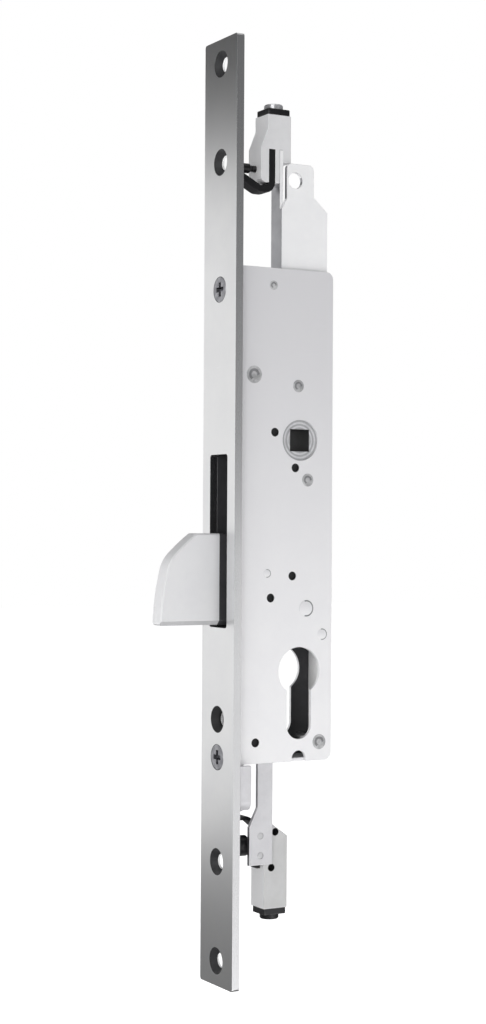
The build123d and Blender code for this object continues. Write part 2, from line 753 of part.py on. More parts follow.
def upper_rod_block():
    """A cast block with slots for the clamp and the slide's tongue, and a socket for the drive rod."""
    outline = make_face(Polyline(
        (block_front, upper_block_outer),
        (block_front, upper_block_cheek_top),
        (block_cheek_front, upper_block_cheek_top - upper_cheek_slope),
        (block_cheek_front, upper_block_inner),
        (upper_slide_front, upper_block_inner),
        (upper_slide_front, upper_block_rear_step),
        (block_rear, upper_block_rear_step),
        (block_rear, upper_block_outer),
        close=True,
    ))
    body = slab(outline, -block_half_width, block_half_width)
    inner_front = body.edges().filter_by(Axis.Y).group_by(Axis.Z)[0].sort_by(Axis.X)[0]
    body = fillet(inner_front, block_toe_radius)
    upright = body.edges().filter_by(Axis.Z)
    body = fillet(upright.group_by(Axis.X)[-1], block_edge_round)
    channel_front = upper_clamp_rear - upper_clamp_thickness - clamp_gap
    for front, rear in ((channel_front, upper_clamp_rear + clamp_gap),
                        (upper_slide_front, upper_slide_front + slide_thickness)):
        body -= block(front, rear, -block_half_width, slide_near + upper_flange_reach,
                      upper_block_inner, channel_top)
    body -= pin_x(0, upper_clamp_screw_height, upper_clamp_screw_diameter, block_cheek_front, channel_front)
    return body - socket_hole(upper_block_outer, -1)


def lower_rod_block():
    """A cast block with a near ear for the slide's head and a socket for the drive rod."""
    outline = make_face(Polyline(
        (block_front, lower_block_outer),
        (block_front, lower_block_inner),
        (lower_block_shoulder_back, lower_block_inner),
        (block_rear, lower_block_inner - lower_block_rear_slope),
        (block_rear, lower_block_outer),
        close=True,
    ))
    body = slab(outline, -block_half_width, block_half_width)
    upright = body.edges().filter_by(Axis.Z)
    body = fillet(upright.group_by(Axis.X)[-1], block_edge_round)
    body += block(lower_ear_front, block_front, -block_half_width, -block_half_width + lower_ear_thickness,
                  lower_ear_bottom, lower_ear_top)
    for back, drop in zip(cross_hole_backs, cross_hole_drops):
        body -= pin_y(back, lower_block_inner - drop, cross_hole_diameter, -block_half_width,
                      -block_half_width + cross_hole_depth)
    for height in ear_rivet_heights:
        body -= pin_y(ear_rivet_back, height, ear_rivet_diameter, -block_half_width,
                      -block_half_width + lower_ear_thickness)
    body -= pin_x(0, lower_clamp_screw_height, lower_clamp_screw_diameter, block_front, clamp_screw_reach)
    return body - socket_hole(lower_block_outer, 1)


def ear_rivets():
    return [pin_y(ear_rivet_back, height, ear_rivet_diameter, slide_near,
                  -block_half_width + lower_ear_thickness) for height in ear_rivet_heights]


def rod_collar(low):
    """A black square collar on a block's outer end."""
    body = block(block_front + collar_inset, block_rear - collar_inset, -block_half_width + collar_inset,
                 block_half_width - collar_inset, low, low + collar_height)
    body = fillet(body.edges().filter_by(Axis.Z), block_edge_round)
    return body - pin_z(block_back, 0, socket_outer_diameter, low, low + collar_height)


def rod_socket(outer, direction):
    """A threaded sleeve that takes the drive rod."""
    inner = outer - direction * (socket_depth - socket_proud - collar_height)
    tip = outer + direction * (collar_height + socket_proud)
    low = min(inner, tip)
    high = max(inner, tip)
    return pin_z(block_back, 0, socket_outer_diameter, low, high) - pin_z(
        block_back, 0, socket_bore_diameter, low, high)


def clamp_strap(points, thickness, near, screw_height, screw_diameter):
    """A black strap bent in the lock's plane, with a hole for its screw."""
    path = FilletPolyline(*points, radius=clamp_bend_radius)
    strap = slab(trace(path, thickness), near, near + clamp_width)
    hole = screw_diameter + 2 * clamp_hole_clearance
    return strap - pin_x(0, screw_height, hole, block_cheek_front, block_rear)


def upper_clamp_bracket():
    back = upper_clamp_rear - upper_clamp_thickness / 2
    hook = upper_block_inner - upper_clamp_hook_drop
    points = ((back, channel_top - clamp_gap), (back, hook),
              (upper_clamp_hook_bend_back, hook), (clamp_front, hook + upper_clamp_tip_rise))
    return clamp_strap(points, upper_clamp_thickness, -block_half_width, upper_clamp_screw_height,
                       upper_clamp_screw_diameter)


def lower_clamp_bracket():
    back = block_front - lower_clamp_thickness / 2
    tip = lower_block_inner + lower_clamp_tip_rise
    points = ((back, lower_block_inner - lower_clamp_length),
              (back, lower_block_inner - lower_clamp_bend_drop),
              (lower_clamp_bend_back, tip),
              (clamp_front, tip))
    return clamp_strap(points, lower_clamp_thickness, lower_clamp_near, lower_clamp_screw_height,
                       lower_clamp_screw_diameter)


def clamp_screw(height, head_diameter, diameter, key_size, reach):
    """A socket screw whose head faces the front plate."""
    head_rear = clamp_screw_front + clamp_screw_head_length
    screw = pin_x(0, height, head_diameter, clamp_screw_front, head_rear)
    screw += pin_x(0, height, diameter, head_rear, reach)
    key = Plane.YZ.offset(clamp_screw_front) * Pos(0, height) * RegularPolygon(
        key_size / 2, 6, major_radius=False)
    return screw - extrude(key, amount=clamp_key_depth)


def upper_clamp_screw():
    return clamp_screw(upper_clamp_screw_height, upper_clamp_head_diameter, upper_clamp_screw_diameter,
                       upper_clamp_key_size, upper_clamp_rear - upper_clamp_thickness)


def lower_clamp_screw():
    return clamp_screw(lower_clamp_screw_height, lower_clamp_head_diameter, lower_clamp_screw_diameter,
                       lower_clamp_key_size, clamp_screw_reach)


def build_all():
    pieces = {
        "front_plate": front_plate(),
        "case_far_side": case_far_side(),
        "case_front_wall_upper": case_front_wall_upper(),
        "case_front_wall_lower": case_front_wall_lower(),
        "case_rear_wall": case_rear_wall(),
        "case_top_wall": case_top_wall(),
        "case_bottom_wall": case_bottom_wall(),
        "case_cover": case_cover(),
        "case_pillars": case_pillars(),
        "bolt_buttons": bolt_buttons(),
        "slide_guide_pins": slide_guide_pins(),
        "upper_lug": upper_lug(),
        "lower_lug": lower_lug(),
        "case_screws": case_screws(),
        "hub": hub(),
        "bolt": bolt(),
        "bolt_bush": bolt_bush(),
        "bolt_pivot_pin": bolt_pivot_pin(),
        "bolt_drive_pin": bolt_drive_pin(),
        "bolt_drag_spring": bolt_drag_spring(),
        "bolt_drag_rivet": bolt_drag_rivet(),
        "upper_slide": upper_slide(),
        "upper_rod_block": upper_rod_block(),
        "upper_block_collar": rod_collar(upper_block_outer),
        "upper_rod_socket": rod_socket(upper_block_outer, 1),
        "upper_clamp_bracket": upper_clamp_bracket(),
        "upper_clamp_screw": upper_clamp_screw(),
        "lower_slide": lower_slide(),
        "lower_rod_block": lower_rod_block(),
        "lower_block_collar": rod_collar(lower_block_outer - collar_height),
        "lower_rod_socket": rod_socket(lower_block_outer, -1),
        "lower_clamp_bracket": lower_clamp_bracket(),
        "lower_clamp_screw": lower_clamp_screw(),
        "ear_rivets": ear_rivets(),
        "cam_dog": cam_dog(),
        "cam_dog_rivets": cam_dog_rivets(),
    }
    os.makedirs("parts", exist_ok=True)
    for name, piece in pieces.items():
        shape = Compound(children=list(piece)) if isinstance(piece, list) else piece
        export_step(shape, f"parts/{name}.step")
    print(len(pieces), "nodes; bolt drive pin at", round(drive_pin_back, 3), round(drive_pin_height, 3),
          "travel", round(slide_travel, 3))


build_all()
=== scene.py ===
import logging
import math
from dataclasses import dataclass
from enum import Enum
from functools import cache
from typing import Callable, Optional, Sequence, Union

import bmesh
import bpy
import numpy as np
from bpy.types import Material, Mesh, Node, NodeSocket, NodeTree, Object
from mathutils import Matrix, Vector


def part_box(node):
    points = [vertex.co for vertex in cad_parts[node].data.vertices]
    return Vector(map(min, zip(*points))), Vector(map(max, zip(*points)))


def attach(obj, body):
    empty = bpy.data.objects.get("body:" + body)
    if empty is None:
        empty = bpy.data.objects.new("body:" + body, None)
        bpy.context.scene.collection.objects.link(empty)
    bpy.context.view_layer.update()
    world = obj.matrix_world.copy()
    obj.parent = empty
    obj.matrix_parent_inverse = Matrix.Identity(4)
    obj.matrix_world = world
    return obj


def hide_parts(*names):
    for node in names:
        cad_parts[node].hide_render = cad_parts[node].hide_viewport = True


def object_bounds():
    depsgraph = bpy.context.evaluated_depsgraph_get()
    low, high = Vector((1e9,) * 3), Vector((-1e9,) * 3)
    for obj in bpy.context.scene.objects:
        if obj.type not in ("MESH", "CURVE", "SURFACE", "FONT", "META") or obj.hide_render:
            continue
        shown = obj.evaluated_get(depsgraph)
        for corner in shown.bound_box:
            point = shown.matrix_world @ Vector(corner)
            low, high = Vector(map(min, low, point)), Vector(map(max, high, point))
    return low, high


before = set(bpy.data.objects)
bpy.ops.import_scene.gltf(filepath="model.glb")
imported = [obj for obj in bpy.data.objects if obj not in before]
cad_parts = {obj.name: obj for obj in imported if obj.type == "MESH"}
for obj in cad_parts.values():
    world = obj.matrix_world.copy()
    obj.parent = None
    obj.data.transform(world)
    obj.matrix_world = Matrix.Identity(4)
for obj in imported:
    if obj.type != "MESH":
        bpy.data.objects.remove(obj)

# Narrow-stile three-point mortise lock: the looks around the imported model, in metres.
# X runs into the door from the front plate's face, Y across the plate and Z up.

Triple = tuple[float, float, float]
Array = np.ndarray
Output = NodeSocket
Socket = Union[float, Triple, Output]
Chooser = Callable[[Array, Array], Array]

MM = 0.001
CAD_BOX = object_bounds()
log = logging.getLogger("lock")

# What all pieces share
SHARP_ANGLE = math.radians(35.0)
BROKEN_ANGLE = math.radians(32.0)
FLAT_ANGLE = math.radians(0.6)
COPY_DOUBLES = 0.001 * MM
GRID_DOUBLES = 0.0002 * MM

# What all finishes share: depths in micrometres, scales per metre
SCRATCH_SCALE = 130.0
SCRATCH_DEPTH = 4.0
SCRATCH_SHINE = 0.35
RING_DEPTH = 4.0
RING_COLOUR = (0.20, 0.20, 0.21)
DUST_COLOUR = (0.62, 0.60, 0.57)
DUST_ROUGHNESS = 0.35


class Facing(Enum):
    """The way a turned piece's axis points, as its axis and two directions across it."""

    INTO_DOOR = ((1, 0, 0), (0, 1, 0), (0, 0, 1))
    NEAR_SIDE = ((0, -1, 0), (1, 0, 0), (0, 0, 1))
    FAR_SIDE = ((0, 1, 0), (0, 0, 1), (1, 0, 0))
    UP = ((0, 0, 1), (1, 0, 0), (0, 1, 0))

    def axes(self) -> tuple[Array, ...]:
        """The three directions as arrays."""
        return tuple(np.array(part, float) for part in self.value)


class Recess(Enum):
    """The drive cut in a screw's head."""

    CROSS = "cross"
    HEXAGON = "hexagon"


class Wiring:
    """Adds and joins the nodes of one node tree."""

    def __init__(self, tree: NodeTree) -> None:
        """Starts with an empty tree."""
        self.tree = tree
        self.tree.nodes.clear()

    def feed(self, target: Output, value: Socket) -> None:
        """Sets an input to a plain value, or links an output to it.

        Args:
            target: The input.
            value: The value or the output.
        """
        if isinstance(value, Output):
            self.tree.links.new(value, target)
        else:
            target.default_value = value

    def node(self, kind: str, *values: Socket, **settings: object) -> Node:
        """Adds a node.

        Args:
            kind: The node's type, without the ShaderNode at its front.
            values: What its first inputs get, in order.
            settings: Properties of the node and their values.

        Returns:
            The new node.
        """
        made = self.tree.nodes.new("ShaderNode" + kind)
        for key, setting in settings.items():
            setattr(made, key, setting)
        for target, value in zip(made.inputs, values):
            self.feed(target, value)
        return made

    def named(self, made: Node, **values: Socket) -> Node:
        """Feeds inputs of a node by their names.

        Args:
            made: The node.
            values: What the inputs get, each named with underscores for its spaces.

        Returns:
            The same node.
        """
        for name, value in values.items():
            self.feed(made.inputs[name.replace("_", " ")], value)
        return made

    def maths(self, operation: str, first: Socket, second: Socket = 0.0, third: Socket = 0.0,
              clamp: bool = False) -> Output:
        """One step of arithmetic on plain numbers, held between 0 and 1 if clamp is true."""
        return self.node("Math", first, second, third, operation=operation, use_clamp=clamp).outputs[0]

    def times(self, first: Socket, second: Socket) -> Output:
        """The product of two plain numbers."""
        return self.maths("MULTIPLY", first, second)

    def vector(self, operation: str, first: Socket, second: Socket = (0.0, 0.0, 0.0)) -> Output:
        """One step of arithmetic on vectors. A length or a dot product comes out as a plain number."""
        made = self.node("VectorMath", first, second, operation=operation)
        return made.outputs["Value" if operation in ("LENGTH", "DOT_PRODUCT") else "Vector"]

    def parts(self, place: Output) -> Sequence[Output]:
        """The X, Y and Z of a place."""
        return self.node("SeparateXYZ", place).outputs

    def between(self, value: Socket, low: float, high: float) -> Output:
        """A smooth step from 0 to 1 while a value goes from low to high."""
        return self.node("MapRange", value, low, high, 0.0, 1.0, interpolation_type="SMOOTHSTEP").outputs[0]

    def blend(self, share: Socket, first: Socket, second: Socket) -> Output:
        """A colour between two colours.

        Args:
            share: How much there is of the second colour, from 0 to 1.
            first: The first colour.
            second: The second colour.

        Returns:
            The colour's output.
        """
        made = self.node("Mix", data_type="RGBA")
        for name, value in (("Factor", share), ("A", first), ("B", second)):
            wanted = "VALUE" if name == "Factor" else "RGBA"
            target = next(s for s in made.inputs if s.name == name and s.type == wanted)
            self.feed(target, (*value, 1.0) if isinstance(value, tuple) else value)
        return next(s for s in made.outputs if s.type == "RGBA")

    def noise(self, place: Socket, scale: Socket, detail: float, roughness: float = 0.55) -> Output:
        """Soft noise from 0 to 1 at a place."""
        made = self.node("TexNoise")
        return self.named(made, Vector=place, Scale=scale, Detail=detail, Roughness=roughness).outputs[0]

    def effect(self, group: NodeTree, **values: Socket) -> Output:
        """Places a shared effect and feeds its inputs."""
        return self.named(self.node("Group", node_tree=group), **values).outputs[0]


def shared(title: str, output: str, **inputs: str) -> Callable:
    """Turns a method that joins nodes into one that gives their node group, built at the first call.

    Args:
        title: The group's name.
        output: The name of its output, a plain number.
        inputs: The names of its inputs, each with Float or Vector.

    Returns:
        What wraps the method. The method gets the group's wiring and inputs, and returns its output.
    """
    def wrap(fill: Callable[..., Output]) -> Callable[[], NodeTree]:
        """Wraps one method.

        Args:
            fill: The method.

        Returns:
            What gives the group.
        """
        @cache
        def group() -> NodeTree:
            """Builds the group.

            Returns:
                The group.
            """
            tree = bpy.data.node_groups.new(title, "ShaderNodeTree")
            for name, kind in inputs.items():
                tree.interface.new_socket(name=name, in_out="INPUT", socket_type="NodeSocket" + kind)
            tree.interface.new_socket(name=output, in_out="OUTPUT", socket_type="NodeSocketFloat")
            wire = Wiring(tree)
            given = tree.nodes.new("NodeGroupInput").outputs
            result = fill(wire, *(given[name] for name in inputs))
            wire.feed(tree.nodes.new("NodeGroupOutput").inputs[output], result)
            return tree

        return group

    return wrap


class Effects:
    """The effects that several finishes share, each a node group."""

    @staticmethod
    @shared("drawn_grain", "Line", Place="Vector", Stretch="Vector", Scale="Float")
    def grain(wire: Wiring, place: Output, stretch: Output, scale: Output) -> Output:
        """Fine lines drawn out along one direction, as rolling or brushing leaves them: fine and coarse
        noise at a place that is squeezed along the grain.

        Args:
            wire: The group's wiring.
            place: A place on the piece.
            stretch: How much of each axis counts; little of it along the grain.
            scale: The noise's scale, per metre.

        Returns:
            The lines' height, from 0 to 1.
        """
        squeezed = wire.vector("MULTIPLY", place, stretch)
        fine = wire.noise(squeezed, scale, 5.0, 0.65)
        coarse = wire.noise(squeezed, wire.times(scale, 0.21), 2.0)
        return wire.maths("ADD", wire.times(fine, 0.6), wire.times(coarse, 0.4))

    @staticmethod
    @shared("plating_mottle", "Tone", Place="Vector", Scale="Float")
    def mottle(wire: Wiring, place: Output, scale: Output) -> Output:
        """Slow changes of tone over a plated surface, with small cloudy spots: two noises of different
        size, added and spread about a half.

        Args:
            wire: The group's wiring.
            place: A place on the piece.
            scale: The noise's scale, per metre.

        Returns:
            The tone, from 0 to 1.
        """
        slow = wire.noise(place, scale, 2.0)
        spots = wire.noise(place, wire.times(scale, 6.5), 3.0, 0.6)
        both = wire.maths("ADD", wire.times(slow, 0.65), wire.times(spots, 0.35))
        return wire.between(both, 0.34, 0.66)

    @staticmethod
    @shared("hair_scratches", "Mask", Place="Vector", Scale="Float")
    def scratches(wire: Wiring, place: Output, scale: Output) -> Output:
        """Hair scratches in two directions, broken into short runs: the crests of two drawn-out noises,
        kept where a third noise is high.

        Args:
            wire: The group's wiring.
            place: A place on the piece.
            scale: The noise's scale, per metre.

        Returns:
            A mask.
        """
        total: Socket = 0.0
        for stretch, band in (((1.0, 1.0, 0.06), 0.012), ((0.10, 1.0, 1.0), 0.010)):
            bent = wire.noise(wire.vector("MULTIPLY", place, stretch), scale, 1.0)
            crest = wire.maths("ABSOLUTE", wire.maths("SUBTRACT", bent, 0.5))
            total = wire.maths("ADD", total, wire.between(crest, band, 0.0))
        kept = wire.between(wire.noise(place, 95.0, 2.0), 0.56, 0.70)
        return wire.maths("MULTIPLY", total, kept, clamp=True)

    @staticmethod
    @shared("edge_wear", "Mask", Place="Vector", Low="Vector", High="Vector", Width="Float")
    def wear(wire: Wiring, place: Output, low: Output, high: Output, width: Output) -> Output:
        """Rubbed edges of a piece, found from the box that it fills. On the surface the nearest side of
        the box is at no distance, so the second nearest side is the distance to an edge; noise breaks
        the rubbed band up.

        Args:
            wire: The group's wiring.
            place: A place on the piece.
            low: The box's lowest corner.
            high: Its highest corner.
            width: How wide the rubbed band is.

        Returns:
            A mask.
        """
        from_low = wire.vector("ABSOLUTE", wire.vector("SUBTRACT", place, low))
        from_high = wire.vector("ABSOLUTE", wire.vector("SUBTRACT", high, place))
        first, second, third = wire.parts(wire.vector("MINIMUM", from_low, from_high))
        lower = wire.maths("MINIMUM", first, second)
        upper = wire.maths("MAXIMUM", first, second)
        edge = wire.maths("MAXIMUM", lower, wire.maths("MINIMUM", upper, third))
        share = wire.maths("DIVIDE", edge, width)
        ragged = wire.maths("ADD", share, wire.noise(place, 420.0, 4.0, 0.7))
        return wire.between(ragged, 1.25, 0.45)

    @staticmethod
    @shared("settled_dust", "Mask", Place="Vector", Normal="Vector")
    def dust(wire: Wiring, place: Output, normal: Output) -> Output:
        """A little dust on faces that look up: the normal's upward share, times specks of noise.

        Args:
            wire: The group's wiring.
            place: A place on the piece.
            normal: The face's normal there.

        Returns:
            A mask.
        """
        upward = wire.vector("DOT_PRODUCT", normal, (0.0, 0.0, 1.0))
        specks = wire.between(wire.noise(place, 900.0, 3.0, 0.7), 0.48, 0.66)
        return wire.maths("MULTIPLY", specks, wire.between(upward, 0.35, 0.95), clamp=True)

    @staticmethod
    @shared("cast_skin", "Height", Place="Vector", Scale="Float")
    def cast_skin(wire: Wiring, place: Output, scale: Output) -> Output:
        """The pebbled skin of a blasted casting: rounded cells and fine noise, added.

        Args:
            wire: The group's wiring.
            place: A place on the piece.
            scale: The noise's scale, per metre.

        Returns:
            The skin's height.
        """
        cells = wire.named(wire.node("TexVoronoi", feature="SMOOTH_F1"), Vector=place, Scale=scale)
        fine = wire.noise(place, wire.times(scale, 1.7), 4.0, 0.6)
        return wire.maths("ADD", cells.outputs["Distance"], fine)

    @staticmethod
    @shared("turning_marks", "Height", Place="Vector", Centre="Vector", Axis="Vector", Pitch="Float")
    def rings(wire: Wiring, place: Output, centre: Output, axis: Output, pitch: Output) -> Output:
        """Turning marks, fine rings about an axis: a sine of the distance from it over their pitch.

        Args:
            wire: The group's wiring.
            place: A place on the piece.
            centre: A point on the axis.
            axis: The axis's direction.
            pitch: How far apart the rings are.

        Returns:
            The rings' height, from 0 to 1.
        """
        across = wire.vector("CROSS_PRODUCT", wire.vector("SUBTRACT", place, centre), axis)
        turns = wire.times(wire.maths("DIVIDE", wire.vector("LENGTH", across), pitch), math.tau)
        return wire.maths("MULTIPLY_ADD", wire.maths("SINE", turns), 0.5, 0.5)


@dataclass(frozen=True)
class Box:
    """The box that a piece fills at rest, and the name that the piece's materials get."""

    name: str
    low: Sequence[float]
    high: Sequence[float]

    def middle(self) -> Triple:
        """The box's middle."""
        return tuple((a + b) / 2 for a, b in zip(self.low, self.high))


@dataclass(frozen=True)
class Finish:
    """One metal finish. Depths are in micrometres, and scales are per metre."""

    title: str
    colour: Triple
    tint: Triple
    roughness: float
    metallic: float = 1.0
    stretch: Triple = (1.0, 1.0, 0.03)
    grain_scale: float = 2600.0
    grain_depth: float = 3.0
    grain_roughness: float = 0.10
    mottle_scale: float = 60.0
    mottle_roughness: float = 0.06
    scratch: float = 0.5
    wear_colour: Triple = (0.86, 0.86, 0.88)
    wear_width: float = 0.6 * MM
    wear_share: float = 0.5
    wear_roughness: float = -0.10
    dust_share: float = 0.10
    cast_scale: float = 0.0
    cast_depth: float = 0.0
    ring_pitch: float = 0.0
    ring_shade: float = 0.0
    coat: float = 0.0
    scribe: float = 0.0
    # Painted shade: the darker colour that a piece takes towards its top.
    shaded_top_colour: Optional[Triple] = None

    def material(self, box: Box, centre: Triple = (0, 0, 0), axis: Triple = (0, 1, 0)) -> Material:
        """Builds the finish for one piece.

        Args:
            box: The box that the piece fills.
            centre: A point on the axis of the turning marks.
            axis: The direction of that axis.

        Returns:
            The material.
        """
        made = bpy.data.materials.new(f"{self.title}.{box.name}")
        made.use_nodes = True
        wire = Wiring(made.node_tree)
        place = wire.node("TexCoord").outputs["Object"]
        normal = wire.node("NewGeometry").outputs["Normal"]
        line = wire.effect(Effects.grain(), Place=place, Stretch=self.stretch, Scale=self.grain_scale)
        tone = wire.effect(Effects.mottle(), Place=place, Scale=self.mottle_scale)
        scratch = wire.effect(Effects.scratches(), Place=place, Scale=SCRATCH_SCALE)
        if self.scribe:
            scratch = wire.maths("ADD", scratch, self.scribed(wire, place))
        scratch = wire.times(scratch, self.scratch)
        wear = wire.effect(Effects.wear(), Place=place, Low=tuple(box.low), High=tuple(box.high),
                           Width=self.wear_width)
        wear = wire.times(wear, self.wear_share)
        dust = wire.times(wire.effect(Effects.dust(), Place=place, Normal=normal), self.dust_share)

        colour = wire.blend(tone, self.colour, self.tint)
        # Painted shade: the colour darkens from the bottom of the piece's box to its top.
        if self.shaded_top_colour:
            share = wire.between(wire.parts(place)[2], box.low[2], box.high[2])
            colour = wire.blend(share, colour, self.shaded_top_colour)
        colour = wire.blend(wire.times(scratch, SCRATCH_SHINE), colour, self.wear_colour)
        colour = wire.blend(wear, colour, self.wear_colour)
        colour = wire.blend(dust, colour, DUST_COLOUR)

        rough = self.roughness
        for value, share in ((line, self.grain_roughness), (tone, self.mottle_roughness)):
            rough = wire.maths("MULTIPLY_ADD", wire.maths("SUBTRACT", value, 0.5), share, rough)
        rough = wire.maths("MULTIPLY_ADD", wear, self.wear_roughness, rough)
        rough = wire.maths("MULTIPLY_ADD", dust, DUST_ROUGHNESS, rough, clamp=True)

        height = wire.maths("MULTIPLY_ADD", scratch, -SCRATCH_DEPTH, wire.times(line, self.grain_depth))
        if self.cast_depth:
            skin = wire.effect(Effects.cast_skin(), Place=place, Scale=self.cast_scale)
            height = wire.maths("MULTIPLY_ADD", skin, self.cast_depth, height)
        if self.ring_pitch:
            ring = wire.effect(Effects.rings(), Place=place, Centre=centre, Axis=axis, Pitch=self.ring_pitch)
            height = wire.maths("MULTIPLY_ADD", ring, RING_DEPTH, height)
            colour = wire.blend(wire.times(ring, self.ring_shade), colour, RING_COLOUR)
        bump = wire.named(wire.node("Bump"), Distance=1e-6, Strength=1.0, Height=height)

        shader = wire.named(wire.node("BsdfPrincipled"), Base_Color=colour, Roughness=rough,
                            Normal=bump.outputs[0], Metallic=self.metallic, Coat_Weight=self.coat)
        wire.node("OutputMaterial", shader.outputs[0])
        return made

    def scribed(self, wire: Wiring, place: Output) -> Output:
        """A mask for a faint line across a piece, at the height of the scribe and broken by noise.

        Args:
            wire: The material's wiring.
            place: A place on the piece.

        Returns:
            The mask's output.
        """
        gap = wire.maths("ABSOLUTE", wire.maths("SUBTRACT", wire.parts(place)[2], self.scribe))
        line = wire.between(gap, 0.32 * MM, 0.12 * MM)
        return wire.times(line, wire.between(wire.noise(place, 160.0, 2.0), 0.30, 0.62))


class Finishes:
    """The lock's finishes."""

    plate = Finish("satin_plate", (0.79, 0.79, 0.79), (0.775, 0.775, 0.78), 0.33, grain_depth=1.6,
                   grain_scale=3200.0, mottle_roughness=0.02, wear_width=0.8 * MM, wear_share=0.4,
                   scribe=52.6 * MM)
    plate_edge = Finish("plate_edge", (0.80, 0.80, 0.81), (0.78, 0.78, 0.79), 0.26, grain_depth=0.4,
                        grain_roughness=0.03, mottle_roughness=0.01, scratch=0.2, wear_share=0.0)
    # Painted shade: near-black cones and bores of the plate's holes, standing in for the shade inside them.
    sunk = Finish("countersink_painted_shade", (0.032, 0.032, 0.034), (0.020, 0.020, 0.022), 0.60, metallic=0.1,
                  mottle_scale=300.0, wear_share=0.0, scratch=0.2)
    # Painted light: near-white bores and inner walls, standing in for the light seen through the holes.
    bore = Finish("painted_light_bore", (0.96, 0.96, 0.96), (0.93, 0.93, 0.93), 0.45, metallic=0.0, wear_share=0.0,
                  scratch=0.2)
    # Painted shade: near-black walls of holes and bores, standing in for the shade inside them.
    painted_shade_hole = Finish("painted_hole_shade", (0.020, 0.020, 0.021), (0.015, 0.015, 0.016), 0.70, metallic=0.0,
                  wear_share=0.0, scratch=0.0, dust_share=0.0)
    # The case's colour darkens towards its top as painted shade.
    case = Finish("zinc_case", (0.95, 0.945, 0.955), (0.93, 0.925, 0.94), 0.42, metallic=0.35,
                  grain_depth=1.0, mottle_scale=90.0, mottle_roughness=0.02, dust_share=0.05,
                  shaded_top_colour=(0.795, 0.79, 0.81))
    # Painted shade: near-black inner faces, standing in for the shade inside the case and the slot.
    inside = Finish("painted_shade_inside", (0.060, 0.060, 0.064), (0.045, 0.045, 0.048), 0.50, metallic=0.2,
                    wear_share=0.0, scratch=0.0, dust_share=0.0)
    # Painted shade: darker faces on the bolt's underside.
    bolt_under = Finish("bolt_underside", (0.62, 0.62, 0.63), (0.57, 0.57, 0.58), 0.45, metallic=0.3,
                        wear_share=0.0)
    # Painted shade: darker, rougher front faces and broken edges of the bolt.
    bolt_round = Finish("bolt_rounding", (0.74, 0.74, 0.75), (0.70, 0.70, 0.71), 0.60, metallic=0.1,
                        wear_share=0.0)
    bolt = Finish("ground_bolt", (0.83, 0.83, 0.84), (0.80, 0.80, 0.815), 0.46, metallic=0.30,
                  grain_depth=1.4, stretch=(1.0, 1.0, 0.02), mottle_roughness=0.03, wear_width=1.0 * MM)
    slide = Finish("zinc_slide", (0.94, 0.94, 0.945), (0.91, 0.91, 0.92), 0.38, metallic=0.15,
                   grain_depth=1.2, mottle_roughness=0.03, wear_width=0.5 * MM)
    low_slide = Finish("low_slide", (0.71, 0.705, 0.725), (0.66, 0.655, 0.675), 0.40, metallic=0.35,
                       grain_depth=1.2, mottle_scale=140.0, mottle_roughness=0.04, wear_width=0.5 * MM)
    # Painted shade: darker broken edges of the case sheets.
    case_edge = Finish("case_edge", (0.60, 0.60, 0.61), (0.55, 0.55, 0.56), 0.42, metallic=0.3,
                       wear_share=0.0)
    # Painted shade: darker end faces and broken edges of the slides.
    slide_edge = Finish("slide_edge", (0.52, 0.52, 0.54), (0.47, 0.47, 0.49), 0.42, wear_share=0.0)
    hub = Finish("sintered_hub", (0.82, 0.82, 0.84), (0.66, 0.66, 0.68), 0.38, metallic=0.5,
                 mottle_scale=260.0, ring_pitch=1.35 * MM, ring_shade=0.55)
    pin = Finish("turned_pin", (0.70, 0.70, 0.71), (0.62, 0.62, 0.63), 0.34, ring_pitch=0.28 * MM)
    rivet = Finish("worn_rivet", (0.66, 0.66, 0.67), (0.38, 0.38, 0.39), 0.42, metallic=0.45,
                   mottle_scale=330.0, wear_share=0.0)
    # Painted shade: the dark crescent on the rivet ends' pressed ring.
    rivet_shade_crescent = Finish("rivet_shade_crescent", (0.30, 0.30, 0.31), (0.22, 0.22, 0.23), 0.50, metallic=0.4,
                        mottle_scale=330.0, wear_share=0.0)
    blasted = dict(roughness=0.55, grain_depth=0.5, cast_scale=2400.0, cast_depth=7.0, wear_width=0.7 * MM)
    low_cast = Finish("low_block", (0.64, 0.64, 0.64), (0.59, 0.59, 0.59), metallic=0.25, wear_share=0.4,
                      **blasted)
    # Painted light: brighter front faces of the rod blocks.
    cast_front = Finish("cast_front", (0.95, 0.95, 0.955), (0.91, 0.91, 0.92), metallic=0.0, wear_share=0.0,
                        **blasted)
    cast = Finish("cast_block", (0.80, 0.80, 0.81), (0.75, 0.75, 0.76), metallic=0.25, **blasted)
    socket = Finish("zinc_socket", (0.74, 0.74, 0.76), (0.68, 0.68, 0.70), 0.32, metallic=0.7,
                    ring_pitch=0.30 * MM)
    black = Finish("black_oxide", (0.022, 0.022, 0.024), (0.032, 0.032, 0.034), 0.34, metallic=0.6,
                   grain_depth=1.0, wear_colour=(0.30, 0.29, 0.28), wear_share=0.25, scratch=0.6, coat=0.15)
    spring = Finish("tempered_spring", (0.42, 0.40, 0.37), (0.36, 0.35, 0.34), 0.36)
    bronze = Finish("bronze_bush", (0.66, 0.46, 0.24), (0.58, 0.41, 0.22), 0.38, ring_pitch=0.25 * MM)
    screw = Finish("zinc_screw", (0.40, 0.40, 0.42), (0.30, 0.30, 0.32), 0.40, mottle_scale=420.0,
                   mottle_roughness=0.12, ring_pitch=0.30 * MM)


